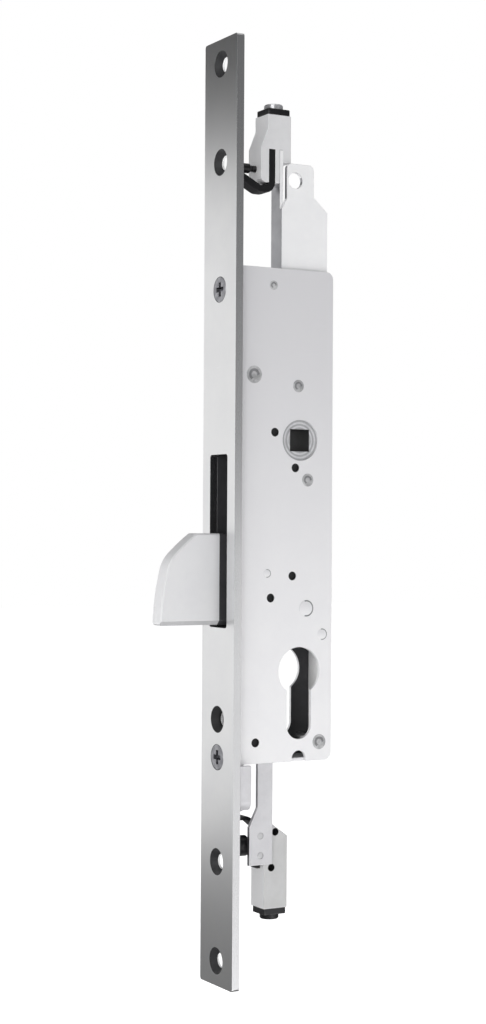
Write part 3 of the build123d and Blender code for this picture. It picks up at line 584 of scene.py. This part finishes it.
@dataclass(frozen=True)
class Patch:
    """Faces of a piece that carry another finish, chosen from their middles and their normals."""

    finish: Finish
    chosen: Chooser

    def apply(self, piece: Object, box: Box) -> None:
        """Gives the finish to the chosen faces.

        Args:
            piece: The piece.
            box: The box that it fills.
        """
        faces = piece.data.polygons
        middles, normals = np.empty(3 * len(faces)), np.empty(3 * len(faces))
        index = np.empty(len(faces), dtype=np.int32)
        for field, values in (("center", middles), ("normal", normals), ("material_index", index)):
            faces.foreach_get(field, values)
        index[self.chosen(middles.reshape(-1, 3), normals.reshape(-1, 3))] = len(piece.data.materials)
        piece.data.materials.append(self.finish.material(box))
        faces.foreach_set("material_index", index)
        piece.data.update()


def looking(axis: int, sign: int, share: float = 0.9) -> Chooser:
    """Chooses the faces that look one way along an axis.

    Args:
        axis: 0, 1 or 2, for X, Y or Z.
        sign: 1 for up the axis, -1 for down it, and 0 for both ways.
        share: How much of a face's normal has to lie along the axis.

    Returns:
        What chooses them, for a patch.
    """
    if sign:
        return lambda middles, normals: sign * normals[:, axis] > share
    return lambda middles, normals: abs(normals[:, axis]) > share


def finished(mesh: Mesh, name: str) -> Object:
    """Puts a mesh into the scene as an object at the origin.

    Args:
        mesh: The mesh.
        name: The object's name.

    Returns:
        The object.
    """
    piece = bpy.data.objects.new(name, mesh)
    bpy.context.scene.collection.objects.link(piece)
    return piece


def dress(piece: Object, body: str, material: Material, node: str, patches: Sequence[Patch],
          box: Box) -> None:
    """Gives a piece its finishes and tells the frame what it is.

    Args:
        piece: The piece.
        body: The body that it rides on.
        material: Its material.
        node: The CAD node that it stands for, or nothing.
        patches: Faces with other finishes.
        box: The box that it fills.
    """
    piece.data.materials.append(material)
    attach(piece, body)
    if node:
        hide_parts(node)
    for patch in patches:
        patch.apply(piece, box)
    log.info("%s: %d vertices on %s", piece.name, len(piece.data.vertices), body)


def merge(mesh: Mesh, distance: float, flatten: float = 0.0,
          splits: Sequence[tuple[Triple, Triple]] = ()) -> None:
    """Merges doubles, turns the faces outwards and smooths them.

    Args:
        mesh: The mesh to change.
        distance: Points nearer than this become one.
        flatten: Faces that meet at less than this angle become one, where it isn't 0.
        splits: Planes, each a point and a normal, that then divide the faces they cross.
    """
    work = bmesh.new()
    work.from_mesh(mesh)
    bmesh.ops.remove_doubles(work, verts=work.verts, dist=distance)
    bmesh.ops.dissolve_degenerate(work, edges=work.edges, dist=distance)
    if flatten:
        bmesh.ops.dissolve_limit(work, angle_limit=flatten, verts=work.verts, edges=work.edges)
    bmesh.ops.recalc_face_normals(work, faces=work.faces)
    for face in work.faces:
        face.smooth = True
    for point, normal in splits:
        parts = work.verts[:] + work.edges[:] + work.faces[:]
        bmesh.ops.bisect_plane(work, geom=parts, plane_co=point, plane_no=normal, dist=1e-7)
    work.to_mesh(mesh)
    work.free()


def softened(node: str, width: float, body: str, finish: Finish, patches: Sequence[Patch] = (),
             segments: int = 2, splits: Sequence[tuple[Triple, Triple]] = (),
             edge: Optional[Finish] = None) -> None:
    """Makes a copy of a CAD piece with its edges broken, which stands for it.

    Args:
        node: The CAD node's name.
        width: How wide its edges are broken.
        body: The body that it rides on.
        finish: Its finish.
        patches: Faces with other finishes.
        segments: How many faces round each broken edge.
        splits: Planes, each a point and a normal, along which faces are divided for the patches.
        edge: The finish of its broken edges, where that differs.
    """
    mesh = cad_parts[node].data.copy()
    mesh.name = node + "_shape"
    mesh.materials.clear()
    merge(mesh, COPY_DOUBLES, FLAT_ANGLE, splits)
    piece = finished(mesh, node + "_piece")
    bevel = piece.modifiers.new("broken_edges", "BEVEL")
    bevel.width = width
    bevel.segments = segments
    bevel.limit_method = "ANGLE"
    bevel.angle_limit = BROKEN_ANGLE
    piece.modifiers.new("even_normals", "WEIGHTED_NORMAL").keep_sharp = True
    box = Box(node, *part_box(node))
    dress(piece, body, finish.material(box, box.middle()), node, patches, box)
    if edge:
        piece.data.materials.append(edge.material(box))
        bevel.material = len(piece.data.materials) - 1


def new_piece(name: str, grid: Array, body: str, finish: Finish, node: str = "",
              centre: Triple = (0, 0, 0), axis: Triple = (0, 1, 0), along: bool = False,
              patches: Sequence[Patch] = ()) -> Object:
    """Makes a piece from a grid of points, whose last column joins the first, and dresses it.

    Args:
        name: The piece's name.
        grid: Points as rows by columns by three.
        body: The body that it rides on.
        finish: Its finish.
        node: The CAD node that it stands for, or nothing.
        centre: A point on the axis of its turning marks.
        axis: The direction of that axis.
        along: Whether the last row joins the first.
        patches: Faces with other finishes.

    Returns:
        The piece.
    """
    points = grid.reshape(-1, 3)
    index = np.arange(len(points)).reshape(grid.shape[:2])
    index = np.concatenate([index, index[:, :1]], axis=1)
    if along:
        index = np.concatenate([index, index[:1]], axis=0)
    quads = np.stack([index[:-1, :-1], index[:-1, 1:], index[1:, 1:], index[1:, :-1]], axis=-1)
    mesh = bpy.data.meshes.new(name)
    mesh.from_pydata(points.tolist(), [], quads.reshape(-1, 4).tolist())
    merge(mesh, GRID_DOUBLES)
    mesh.set_sharp_from_angle(angle=SHARP_ANGLE)
    box = Box(node, *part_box(node)) if node else Box(name, points.min(axis=0), points.max(axis=0))
    piece = finished(mesh, name)
    dress(piece, body, finish.material(box, centre, axis), node, patches, box)
    return piece


def turned_grid(profile: Array, origin: Sequence[float], facing: Facing, steps: int) -> Array:
    """Carries a profile round an axis: each point is its height along the axis plus its radius
    across it, at evenly spaced angles.

    Args:
        profile: Radius and height of each point.
        origin: Where the axis starts.
        facing: The way that the axis points.
        steps: How many angles.

    Returns:
        The points, as profile rows by angles by three.
    """
    axis, first, second = facing.axes()
    angle = np.linspace(0.0, math.tau, steps, endpoint=False)
    spoke = np.outer(np.cos(angle), first) + np.outer(np.sin(angle), second)
    radius, height = profile[:, 0], profile[:, 1]
    return np.array(origin, float) + radius[:, None, None] * spoke + (height[:, None] * axis)[:, None, :]


def thread(heights: Array, pitch: float, steps: int) -> Array:
    """A thread's flanks: a triangle wave of the height over the pitch less the share of a turn.

    Args:
        heights: Heights along the thread.
        pitch: Its pitch.
        steps: How many angles there are in a turn.

    Returns:
        The wave from 0 to 1, as heights by angles.
    """
    turn = heights[:, None] / pitch - np.linspace(0.0, 1.0, steps, endpoint=False)[None, :]
    return abs(2 * (turn % 1.0) - 1)


@dataclass(frozen=True)
class Screw:
    """A screw turned about an axis, with a drive cut in its head and a thread on its shank."""

    head_radius: float
    shank_radius: float
    head_length: float
    length: float
    recess: Recess
    recess_size: float
    recess_depth: float
    countersunk: bool
    pitch: float = 0.8 * MM
    rim: float = 0.25 * MM
    steps: int = 96
    arm: float = 0.55 * MM
    recess_wall: float = 0.12 * MM
    tooth_share: float = 0.45
    tip_share: float = 0.82

    def cut(self, across: Array, up: Array) -> Array:
        """How deep the drive's cut is at places on the head.

        Each place's distance from the cut's outline, over a narrow wall, gives a smooth step down.

        Args:
            across: The places across the head.
            up: The places up the head.

        Returns:
            The depths.
        """
        if self.recess is Recess.CROSS:
            arms = [np.maximum(abs(one) - self.arm, abs(two) - self.recess_size)
                    for one, two in ((across, up), (up, across))]
            outside = np.minimum(*arms)
        else:
            sides = [abs(across * math.cos(turn) + up * math.sin(turn))
                     for turn in np.radians((0.0, 60.0, 120.0))]
            outside = np.maximum.reduce(sides) - self.recess_size
        share = np.clip(0.5 - outside / self.recess_wall, 0.0, 1.0)
        return self.recess_depth * share * share * (3 - 2 * share)

    def grid(self, origin: Sequence[float], facing: Facing) -> Array:
        """The screw's points: a profile carried round its axis, with the drive's depth added on top
        and the thread's wave taken from the shank's radius.

        Args:
            origin: The middle of the head's face.
            facing: The way from the head to the tip.

        Returns:
            The points, as a grid.
        """
        head = np.linspace(0.0, self.head_radius - self.rim, 40)
        profile = [(radius, 0.0) for radius in head]
        profile += [(self.head_radius - 0.3 * self.rim, 0.12 * self.rim),
                    (self.head_radius, 0.5 * self.rim)]
        if not self.countersunk:
            profile += [(self.head_radius, self.head_length - self.rim),
                        (self.head_radius - self.rim, self.head_length)]
        profile.append((self.shank_radius, self.head_length))
        threads = int(round((self.length - self.head_length) / self.pitch * 6))
        shank = np.linspace(self.head_length + self.pitch / 4, self.length - self.pitch / 2, threads)
        rows = slice(len(profile), len(profile) + threads)
        profile += [(self.shank_radius, height) for height in shank]
        profile += [(self.shank_radius * self.tip_share, self.length), (0.0, self.length)]
        points = turned_grid(np.array(profile), (0, 0, 0), Facing.UP, self.steps)
        tooth = thread(shank, self.pitch, self.steps) * self.tooth_share * self.pitch
        ease = np.clip((shank - shank[0]) / self.pitch, 0.0, 1.0)[:, None]
        points[rows, :, :2] *= (1 - tooth * ease / self.shank_radius)[:, :, None]
        top = slice(0, len(head))
        points[top, :, 2] += self.cut(points[top, :, 0], points[top, :, 1])
        axis, first, second = facing.axes()
        return (np.array(origin, float) + points[..., 2:3] * axis + points[..., 0:1] * first
                + points[..., 1:2] * second)


@dataclass
class FrontPlate:
    """The long front plate with the two case screws."""

    edge_break: float = 0.30 * MM
    screw_heights: tuple[float, float] = (81.0 * MM, -89.5 * MM)
    cylinder_screw_height: float = -75.7 * MM
    end_holes: float = 98.0 * MM
    sink_radius: float = 5.2 * MM
    screw: Screw = Screw(
        head_radius=4.6 * MM, shank_radius=2.5 * MM, head_length=2.1 * MM, length=9.0 * MM,
        recess=Recess.CROSS, recess_size=2.5 * MM, recess_depth=2.0 * MM, countersunk=True, arm=0.75 * MM)

    def build(self) -> None:
        """Makes the plate and its screws."""
        # Painted shade and light in the plate's holes: near-black cones, near-white straight bores in the end
        # holes, and a black cylinder screw hole.
        patches = (Patch(Finishes.plate_edge, looking(1, 0)), Patch(Finishes.sunk, self.sunk),
                   Patch(Finishes.bore, self.bore), Patch(Finishes.painted_shade_hole, self.dark_hole))
        softened("front_plate", self.edge_break, "lock_case", Finishes.plate, patches, 3)
        screws = [new_piece(f"case_screw_{index}", self.screw.grid((0, 0, height), Facing.INTO_DOOR),
                            "lock_case", Finishes.screw, centre=(0, 0, height), axis=(1, 0, 0))
                  for index, height in enumerate(self.screw_heights, 1)]
        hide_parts("case_screws")

    def sunk(self, middles: Array, normals: Array) -> Array:
        """The cones and bores of the holes: faces near the plate's middle line that look to the side."""
        return (abs(middles[:, 1]) < self.sink_radius) & (abs(normals[:, 0]) < 0.9)

    def bore(self, middles: Array, normals: Array) -> Array:
        """The straight bores below the cones of the plate's end holes, painted near white as light."""
        straight = (abs(normals[:, 0]) < 0.2) & (abs(middles[:, 2]) > self.end_holes)
        return self.sunk(middles, normals) & straight

    def dark_hole(self, middles: Array, normals: Array) -> Array:
        """The cone and bore of the cylinder screw's hole, painted black as shade."""
        away = np.hypot(middles[:, 1], middles[:, 2] - self.cylinder_screw_height)
        return (away < self.sink_radius) & (abs(normals[:, 0]) < 0.9)


@dataclass(frozen=True)
class RivetEnd:
    """A peened rivet end on the case's near side, with its place, width and rise in millimetres."""

    back: float
    height: float
    diameter: float
    proud: float = 0.10
    worn: bool = True

    def profile(self) -> Array:
        """The end's outline: a quarter ellipse less a narrow bell where the ring is pressed, and a foot
        just below the sheet's face.

        Returns:
            Radius and height of each point, in metres.
        """
        share = np.linspace(0.0, 1.0, 14)
        dome = np.sqrt(1 - (share * 0.999) ** 2) - 0.35 * np.exp(-((share - 0.55) / 0.10) ** 2)
        foot = np.array([(self.diameter / 2, -0.05), (0.0, -0.05)])
        return np.concatenate([np.stack([self.diameter / 2 * share, self.proud * dome], axis=1), foot]) * MM

    def ring(self, middles: Array, normals: Array) -> Array:
        """The pressed ring, painted dark as shade: open at its lower right on a worn end, and at the rim's
        front on others.

        Args:
            middles: The faces' middles.
            normals: Their normals.

        Returns:
            Which faces it has.
        """
        radius = self.diameter / 2 * MM
        across = (middles[:, 0] - self.back * MM) / radius
        up = (middles[:, 2] - self.height * MM) / radius
        away = np.hypot(across, up)
        if self.worn:
            return (away > 0.42) & (away < 0.72) & (up - 0.6 * across > -0.35)
        return (away > 0.84) & (across > -0.2)


@dataclass
class Case:
    """The case: tray, cover, what holds them apart and the rivet ends that show in the cover."""

    sheet: float = 1.25 * MM
    sheet_break: float = 0.22 * MM
    pin_break: float = 0.2 * MM
    lug_break: float = 0.3 * MM
    spring_break: float = 0.08 * MM
    rivet_break: float = 0.15 * MM
    turned_steps: int = 48
    rivets: tuple[RivetEnd, ...] = (
        RivetEnd(18.3, 83.0, 3.4), RivetEnd(10.3, 50.0, 6.4, 0.05), RivetEnd(29.1, 46.5, 4.6),
        RivetEnd(33.3, 11.9, 4.8), RivetEnd(16.2, -22.5, 3.0, 0.06, False),
        RivetEnd(33.0, -35.5, 6.0, 0.06, False), RivetEnd(39.9, -45.2, 4.2, 0.12, False),
        RivetEnd(38.8, -85.0, 5.6, 0.14))
    holes: tuple[tuple[float, float], ...] = (
        (19.2, 29.2), (28.0, 16.3), (26.9, -23.5), (17.7, -31.5), (11.6, -84.1))
    hole_radius: float = 1.58 * MM
    # Painted shade: the lip and floor depth of the dark cups in the small holes.
    cup_lip: float = 0.15 * MM
    cup_floor_share: float = 0.85

    def build(self) -> None:
        """Makes the case's pieces."""
        self.sheets()
        self.fastenings()
        self.rivet_ends()
        self.fill_hole_shade()

    def sheets(self) -> None:
        """The cover, the far side and the walls between them."""
        for node, inward in (("case_cover", 1), ("case_far_side", -1)):
            # Painted shade: the sheets' inner faces are near black and their broken edges darker.
            softened(node, self.sheet_break, "lock_case", Finishes.case,
                     (Patch(Finishes.inside, looking(1, inward)),), edge=Finishes.case_edge)
        for wall in ("front_wall_upper", "front_wall_lower", "top_wall", "bottom_wall"):
            softened(f"case_{wall}", self.sheet_break, "lock_case", Finishes.case)
        # Painted light: the rear wall's inner face is near white.
        softened("case_rear_wall", self.sheet_break, "lock_case", Finishes.case,
                 (Patch(Finishes.bore, looking(0, -1)),))

    def fastenings(self) -> None:
        """The pillars, buttons, pins and lugs, and the leaf that holds the bolt still."""
        for node in ("case_pillars", "bolt_buttons", "slide_guide_pins", "bolt_pivot_pin"):
            softened(node, self.pin_break, "lock_case", Finishes.pin)
        softened("upper_lug", self.lug_break, "lock_case", Finishes.pin)
        softened("lower_lug", self.lug_break, "lock_case", Finishes.low_slide)
        softened("bolt_drag_spring", self.spring_break, "lock_case", Finishes.spring,
                 segments=1)
        softened("bolt_drag_rivet", self.rivet_break, "lock_case", Finishes.pin)

    def rivet_ends(self) -> None:
        """The rivet ends: each one's profile, turned about its middle on the cover's face."""
        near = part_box("case_cover")[0][1]
        for index, rivet in enumerate(self.rivets, 1):
            grid = turned_grid(rivet.profile(), (rivet.back * MM, near, rivet.height * MM),
                               Facing.NEAR_SIDE, self.turned_steps)
            # Each rivet end gets a painted shade crescent on its pressed ring.
            new_piece(f"rivet_end_{index}", grid, "lock_case",
                      Finishes.rivet if rivet.worn else Finishes.case,
                      patches=(Patch(Finishes.rivet_shade_crescent, rivet.ring),))

    def fill_hole_shade(self) -> None:
        """Painted shade in the small holes: black shallow cups at their bottoms, turned about the holes'
        axes.
        """
        floor, radius = self.cup_floor_share * self.sheet, self.hole_radius
        profile = np.array([(0.0, floor), (radius * 0.9, floor), (radius * 0.94, self.cup_lip),
                            (radius, self.cup_lip), (radius, self.sheet), (0.0, self.sheet)])
        sides = (("near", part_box("case_cover")[0][1], Facing.FAR_SIDE),
                 ("far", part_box("case_far_side")[1][1], Facing.NEAR_SIDE))
        for index, (back, height) in enumerate(self.holes, 1):
            for side, face, direction in sides:
                grid = turned_grid(profile, (back * MM, face, height * MM), direction, self.turned_steps)
                new_piece(f"{side}_hole_plug_{index}", grid, "lock_case", Finishes.painted_shade_hole)


@dataclass
class HubAndBolt:
    """The hub and the swinging bolt with its bush and drive pin."""

    hub_break: float = 0.25 * MM
    hub_back: float = 30.0 * MM
    hub_height: float = 26.5 * MM
    square_half: float = 4.2 * MM
    bolt_break: float = 0.35 * MM
    bolt_root: float = -0.9 * MM
    bush_break: float = 0.15 * MM
    pin_break: float = 0.3 * MM

    def build(self) -> None:
        """Makes the hub and the bolt."""
        softened("hub", self.hub_break, "hub_turning", Finishes.hub,
                 (Patch(Finishes.painted_shade_hole, self.bore),))
        # Painted shade: the bolt's front and edges are darker, its underside darker, and its faces behind the
        # plate near black.
        patches = (Patch(Finishes.bolt_round, looking(0, -1, 0.3)),
                   Patch(Finishes.bolt_under, looking(2, -1, 0.5)), Patch(Finishes.inside, self.root))
        softened("bolt", self.bolt_break, "bolt_swinging", Finishes.bolt, patches, 3,
                 (((self.bolt_root, 0.0, 0.0), (1.0, 0.0, 0.0)),), Finishes.bolt_round)
        softened("bolt_bush", self.bush_break, "bolt_swinging", Finishes.bronze)
        softened("bolt_drive_pin", self.pin_break, "bolt_swinging", Finishes.pin)

    def root(self, middles: Array, normals: Array) -> Array:
        """The bolt's faces behind the plate's front, painted near black as shade."""
        return middles[:, 0] > self.bolt_root

    def bore(self, middles: Array, normals: Array) -> Array:
        """The four walls of the hub's square hole, painted black as shade."""
        across = np.maximum(abs(middles[:, 0] - self.hub_back), abs(middles[:, 2] - self.hub_height))
        return (across < self.square_half) & (abs(normals[:, 1]) < 0.5)


@dataclass
class RodEnd:
    """One slide with its block, collar, socket, clamp bracket and screw."""

    side: str
    head_radius: float
    shank_radius: float
    key_half: float
    slide_finish: Finish
    block_finish: Finish
    socket_finish: Finish
    head_length: float = 6.0 * MM
    head_rim: float = 0.5 * MM
    key_depth: float = 2.6 * MM
    screw_pitch: float = 0.7 * MM
    socket_outer: float = 3.5 * MM
    socket_bore: float = 2.5 * MM
    socket_pitch: float = 0.8 * MM
    socket_chamfer: float = 0.35 * MM
    socket_rows: int = 140
    socket_steps: int = 48
    thread_depth: float = 0.35 * MM
    slide_break: float = 0.32 * MM
    block_break: float = 0.45 * MM
    collar_break: float = 0.3 * MM
    strap_break: float = 0.35 * MM
    blind_holes: tuple[tuple[float, float], ...] = ((22.0, -117.6), (20.4, -130.6))
    blind_radius: float = 1.42 * MM

    def build(self) -> None:
        """Makes the pieces of this end."""
        self.body = f"{self.side}_slide_set"
        # Painted light on the blocks' front faces, and painted shade in the blind holes.
        block_patches = (Patch(Finishes.cast_front, looking(0, -1)), Patch(Finishes.painted_shade_hole, self.blind))
        # Painted shade: the slide's end faces and broken edges are darker.
        softened(f"{self.side}_slide", self.slide_break, self.body, self.slide_finish,
                 (Patch(Finishes.slide_edge, looking(0, 0)),), edge=Finishes.slide_edge)
        softened(f"{self.side}_rod_block", self.block_break, self.body, self.block_finish,
                 block_patches, 3)
        softened(f"{self.side}_block_collar", self.collar_break, self.body, Finishes.black)
        softened(f"{self.side}_clamp_bracket", self.strap_break, self.body,
                 Finishes.black, segments=3)
        self.socket()
        self.clamp_screw()

    def blind(self, middles: Array, normals: Array) -> Array:
        """The walls and floors of the two blind holes in the lower block's near side, painted black as shade.

        Args:
            middles: The faces' middles.
            normals: Their normals.

        Returns:
            Which faces they have.
        """
        away = [np.hypot(middles[:, 0] - back * MM, middles[:, 2] - height * MM)
                for back, height in self.blind_holes]
        return np.minimum(*away) < self.blind_radius

    def socket(self) -> None:
        """Makes the rod socket: a sleeve, with the thread's wave added to its bore's radius."""
        node = f"{self.side}_rod_socket"
        box = Box(node, *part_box(node))
        middle = box.middle()
        half = (box.high[2] - box.low[2]) / 2
        outside, inside, chamfer = self.socket_outer, self.socket_bore, self.socket_chamfer
        heights = np.linspace(-half + chamfer, half - chamfer, self.socket_rows)[::-1]
        outer = [(outside, -half + chamfer), (outside, half - chamfer), (outside - chamfer, half),
                 (inside + chamfer, half)]
        bore = [(inside, height) for height in heights]
        foot = [(inside + chamfer, -half), (outside - chamfer, -half)]
        grid = turned_grid(np.array(outer + bore + foot), middle, Facing.UP, self.socket_steps)
        depth = thread(heights, self.socket_pitch, self.socket_steps) * self.thread_depth
        rows = slice(len(outer), len(outer) + len(bore))
        centre = np.array(middle[:2])
        grid[rows, :, :2] = centre + (grid[rows, :, :2] - centre) * (1 + depth / inside)[..., None]
        new_piece(node + "_piece", grid, self.body, self.socket_finish, node, middle,
                  (0, 0, 1), along=True)

    def clamp_screw(self) -> None:
        """Makes the black socket screw of the clamp."""
        node = f"{self.side}_clamp_screw"
        box = Box(node, *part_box(node))
        height = box.middle()[2]
        screw = Screw(self.head_radius, self.shank_radius, self.head_length, box.high[0] - box.low[0],
                      Recess.HEXAGON, self.key_half, self.key_depth, countersunk=False,
                      pitch=self.screw_pitch, rim=self.head_rim)
        new_piece(node + "_piece", screw.grid((box.low[0], 0, height), Facing.INTO_DOOR), self.body,
                  Finishes.black, node, (0, 0, height), (1, 0, 0))


@dataclass
class LowerFittings:
    """What only the lower slide carries: the rivets of the ear, and the cam dog with its rivets."""

    wide_break: float = 0.2 * MM
    rivet_break: float = 0.15 * MM

    def build(self) -> None:
        """Makes the rivets and the dog."""
        for node, width, slot, finish in (
                ("ear_rivets", self.wide_break, "pin_steel", Finishes.pin),
                ("cam_dog", self.wide_break, "slide_zinc", Finishes.slide),
                ("cam_dog_rivets", self.rivet_break, "pin_steel", Finishes.pin)):
            softened(node, width, "lower_slide_set", finish)


def paint(name: str, shade: float, **values: Socket) -> Material:
    """Makes a plain grey paint for the studio.

    Args:
        name: Its name.
        shade: How light it is, from 0 to 1.
        values: The shader's other inputs, each named with underscores for its spaces.

    Returns:
        The paint.
    """
    made = bpy.data.materials.new(name)
    made.use_nodes = True
    wire = Wiring(made.node_tree)
    shader = wire.named(wire.node("BsdfPrincipled"), Base_Color=(shade, shade, shade, 1.0), **values)
    wire.node("OutputMaterial", shader.outputs[0])
    return made


def sheet(name: str, corners: Sequence[Triple], coat: Material) -> Object:
    """Makes a flat sheet of the studio.

    Args:
        name: Its name.
        corners: Its four corners.
        coat: Its paint.

    Returns:
        The sheet.
    """
    mesh = bpy.data.meshes.new(name)
    mesh.from_pydata(corners, [], [(0, 1, 2, 3)])
    mesh.materials.append(coat)
    made = finished(mesh, name)
    return made


@dataclass(frozen=True)
class Panel:
    """A soft panel light: where its middle is, the point that it faces, its size and its watts."""

    name: str
    place: Triple
    aim: Triple
    width: float
    height: float
    power: float

    def build(self) -> None:
        """Hangs the light, unseen by the camera."""
        lamp = bpy.data.lights.new(self.name, "AREA")
        lamp.shape = "RECTANGLE"
        lamp.size = self.width
        lamp.size_y = self.height
        lamp.energy = self.power
        seat = bpy.data.objects.new(self.name, lamp)
        line = Vector(self.place) - Vector(self.aim)
        seat.matrix_world = (Matrix.Translation(self.place)
                             @ line.to_track_quat("Z", "Y").to_matrix().to_4x4())
        seat.visible_camera = False
        bpy.context.scene.collection.objects.link(seat)


@dataclass(frozen=True)
class Flag:
    """A dark card beside the plate's softbox: its lowest and highest point and its shade."""

    name: str
    low: float
    high: float
    shade: float
    left_end: tuple[float, float] = (-0.36, 0.26)
    right_end: tuple[float, float] = (-0.04, 0.44)

    def build(self) -> None:
        """Hangs the card, seen only in reflections."""
        corners = [(*self.left_end, self.low), (*self.right_end, self.low),
                   (*self.right_end, self.high), (*self.left_end, self.high)]
        card = sheet(self.name, corners, paint(self.name, self.shade, Roughness=1.0))
        card.visible_camera = False
        card.visible_diffuse = False
        card.visible_shadow = False


@dataclass
class Studio:
    """The pale floor, the soft lights and the camera at the photograph's viewing angle."""

    target: Triple = (10.28 * MM, 0.0, -0.09 * MM)
    azimuth: float = -29.58
    elevation: float = -0.48
    roll: float = 0.33
    distance: float = 0.700
    focal_pixels: float = 1906.0
    frame_height: float = 1024.0
    sensor: float = 36.0
    near_clip: float = 0.01
    floor_reach: float = 3.0
    floor_shade: float = 0.93
    floor_glow: float = 0.92
    room_colour: Triple = (0.97, 0.98, 1.0)
    room_light: float = 0.15
    lights: tuple[Union[Panel, Flag], ...] = (
        Panel("plate_softbox", (-0.20, 0.35, 0.011), (0.0, 0.0, 0.011), 0.34, 0.394, 0.365),
        Panel("side_low_panel", (0.45, -0.80, -0.465), (0.02, 0.0, -0.465), 1.0, 0.95, 2.15),
        Panel("side_high_panel", (0.45, -0.80, 0.155), (0.02, 0.0, 0.155), 1.0, 0.23, 0.092),
        Panel("front_key", (-0.58, -0.78, 0.12), (0.01, 0.0, -0.02), 0.4, 0.5, 1.5),
        Panel("front_low", (0.02, -0.60, -0.45), (0.02, 0.0, -0.11), 0.5, 0.3, 1.35),
        Panel("left_key", (-0.70, -0.46, 0.30), (0.0, 0.0, -0.02), 0.7, 0.7, 2.1),
        Panel("plate_panel", (-1.20, 0.0, 0.0), (0.0, 0.0, 0.0), 0.8, 1.0, 0.9),
        Panel("top_panel", (0.0, -0.1, 1.0), (0.0, 0.0, 0.0), 1.2, 1.2, 2.4),
        Flag("flag_above", 0.215, 0.50, 0.055), Flag("flag_below", -0.50, -0.197, 0.22))

    def build(self) -> None:
        """Makes the camera, the floor, the room and the lights."""
        self.camera()
        self.floor()
        self.world()
        for light in self.lights:
            light.build()
        bpy.context.scene.view_settings.view_transform = "Standard"

    def camera(self) -> None:
        """Places the camera from the fitted angles, with its roll about the line of sight."""
        turn, lift, roll = (math.radians(angle) for angle in (self.azimuth, self.elevation, self.roll))
        forward = Vector((-math.sin(turn) * math.cos(lift), math.cos(turn) * math.cos(lift), -math.sin(lift)))
        level = Vector((math.cos(turn), math.sin(turn), 0.0))
        upright = level.cross(forward)
        right = math.cos(roll) * level + math.sin(roll) * upright
        up = -math.sin(roll) * level + math.cos(roll) * upright
        lens = bpy.data.cameras.new("photo_camera")
        lens.sensor_width = self.sensor
        lens.lens = self.focal_pixels / self.frame_height * self.sensor
        lens.clip_start = self.near_clip
        seat = bpy.data.objects.new("photo_camera", lens)
        place = Vector(self.target) - self.distance * forward
        seat.matrix_world = Matrix.Translation(place) @ Matrix((right, up, -forward)).transposed().to_4x4()
        bpy.context.scene.collection.objects.link(seat)
        bpy.context.scene.camera = seat

    def floor(self) -> None:
        """A wide pale sweep that the plate's lower end stands on."""
        low, reach = CAD_BOX[0][2], self.floor_reach
        corners = [(-reach, -reach, low), (reach, -reach, low), (reach, reach, low), (-reach, reach, low)]
        pale = paint("pale_floor", self.floor_shade, Roughness=0.9, Specular_IOR_Level=0.1,
                     Emission_Color=(1.0, 1.0, 1.0, 1.0), Emission_Strength=self.floor_glow)
        sheet("floor", corners, pale).visible_glossy = False

    def world(self) -> None:
        """A white room where the camera looks at it, dimmer as a light."""
        room = bpy.data.worlds.new("white_room")
        bpy.context.scene.world = room
        room.use_nodes = True
        wire = Wiring(room.node_tree)
        seen = wire.node("Background", (1.0, 1.0, 1.0, 1.0), 1.0)
        lit = wire.node("Background", (*self.room_colour, 1.0), self.room_light)
        by_camera = wire.node("LightPath").outputs["Is Camera Ray"]
        pick = wire.node("MixShader", by_camera, lit.outputs[0], seen.outputs[0])
        wire.node("OutputWorld", pick.outputs[0])


def main() -> None:
    """Builds the studio and every sub-assembly, in order."""
    logging.basicConfig(level=logging.INFO, format="%(name)s %(message)s")
    upper = RodEnd("upper", head_radius=1.8 * MM, shank_radius=1.25 * MM, key_half=0.75 * MM,
                   slide_finish=Finishes.slide, block_finish=Finishes.cast, socket_finish=Finishes.socket)
    lower = RodEnd("lower", head_radius=3.8 * MM, shank_radius=2.0 * MM, key_half=1.25 * MM,
                   slide_finish=Finishes.low_slide, block_finish=Finishes.low_cast,
                   socket_finish=Finishes.black)
    for assembly in (Studio(), FrontPlate(), Case(), HubAndBolt(), upper, lower, LowerFittings()):
        assembly.build()


if __name__ == "__main__":
    main()
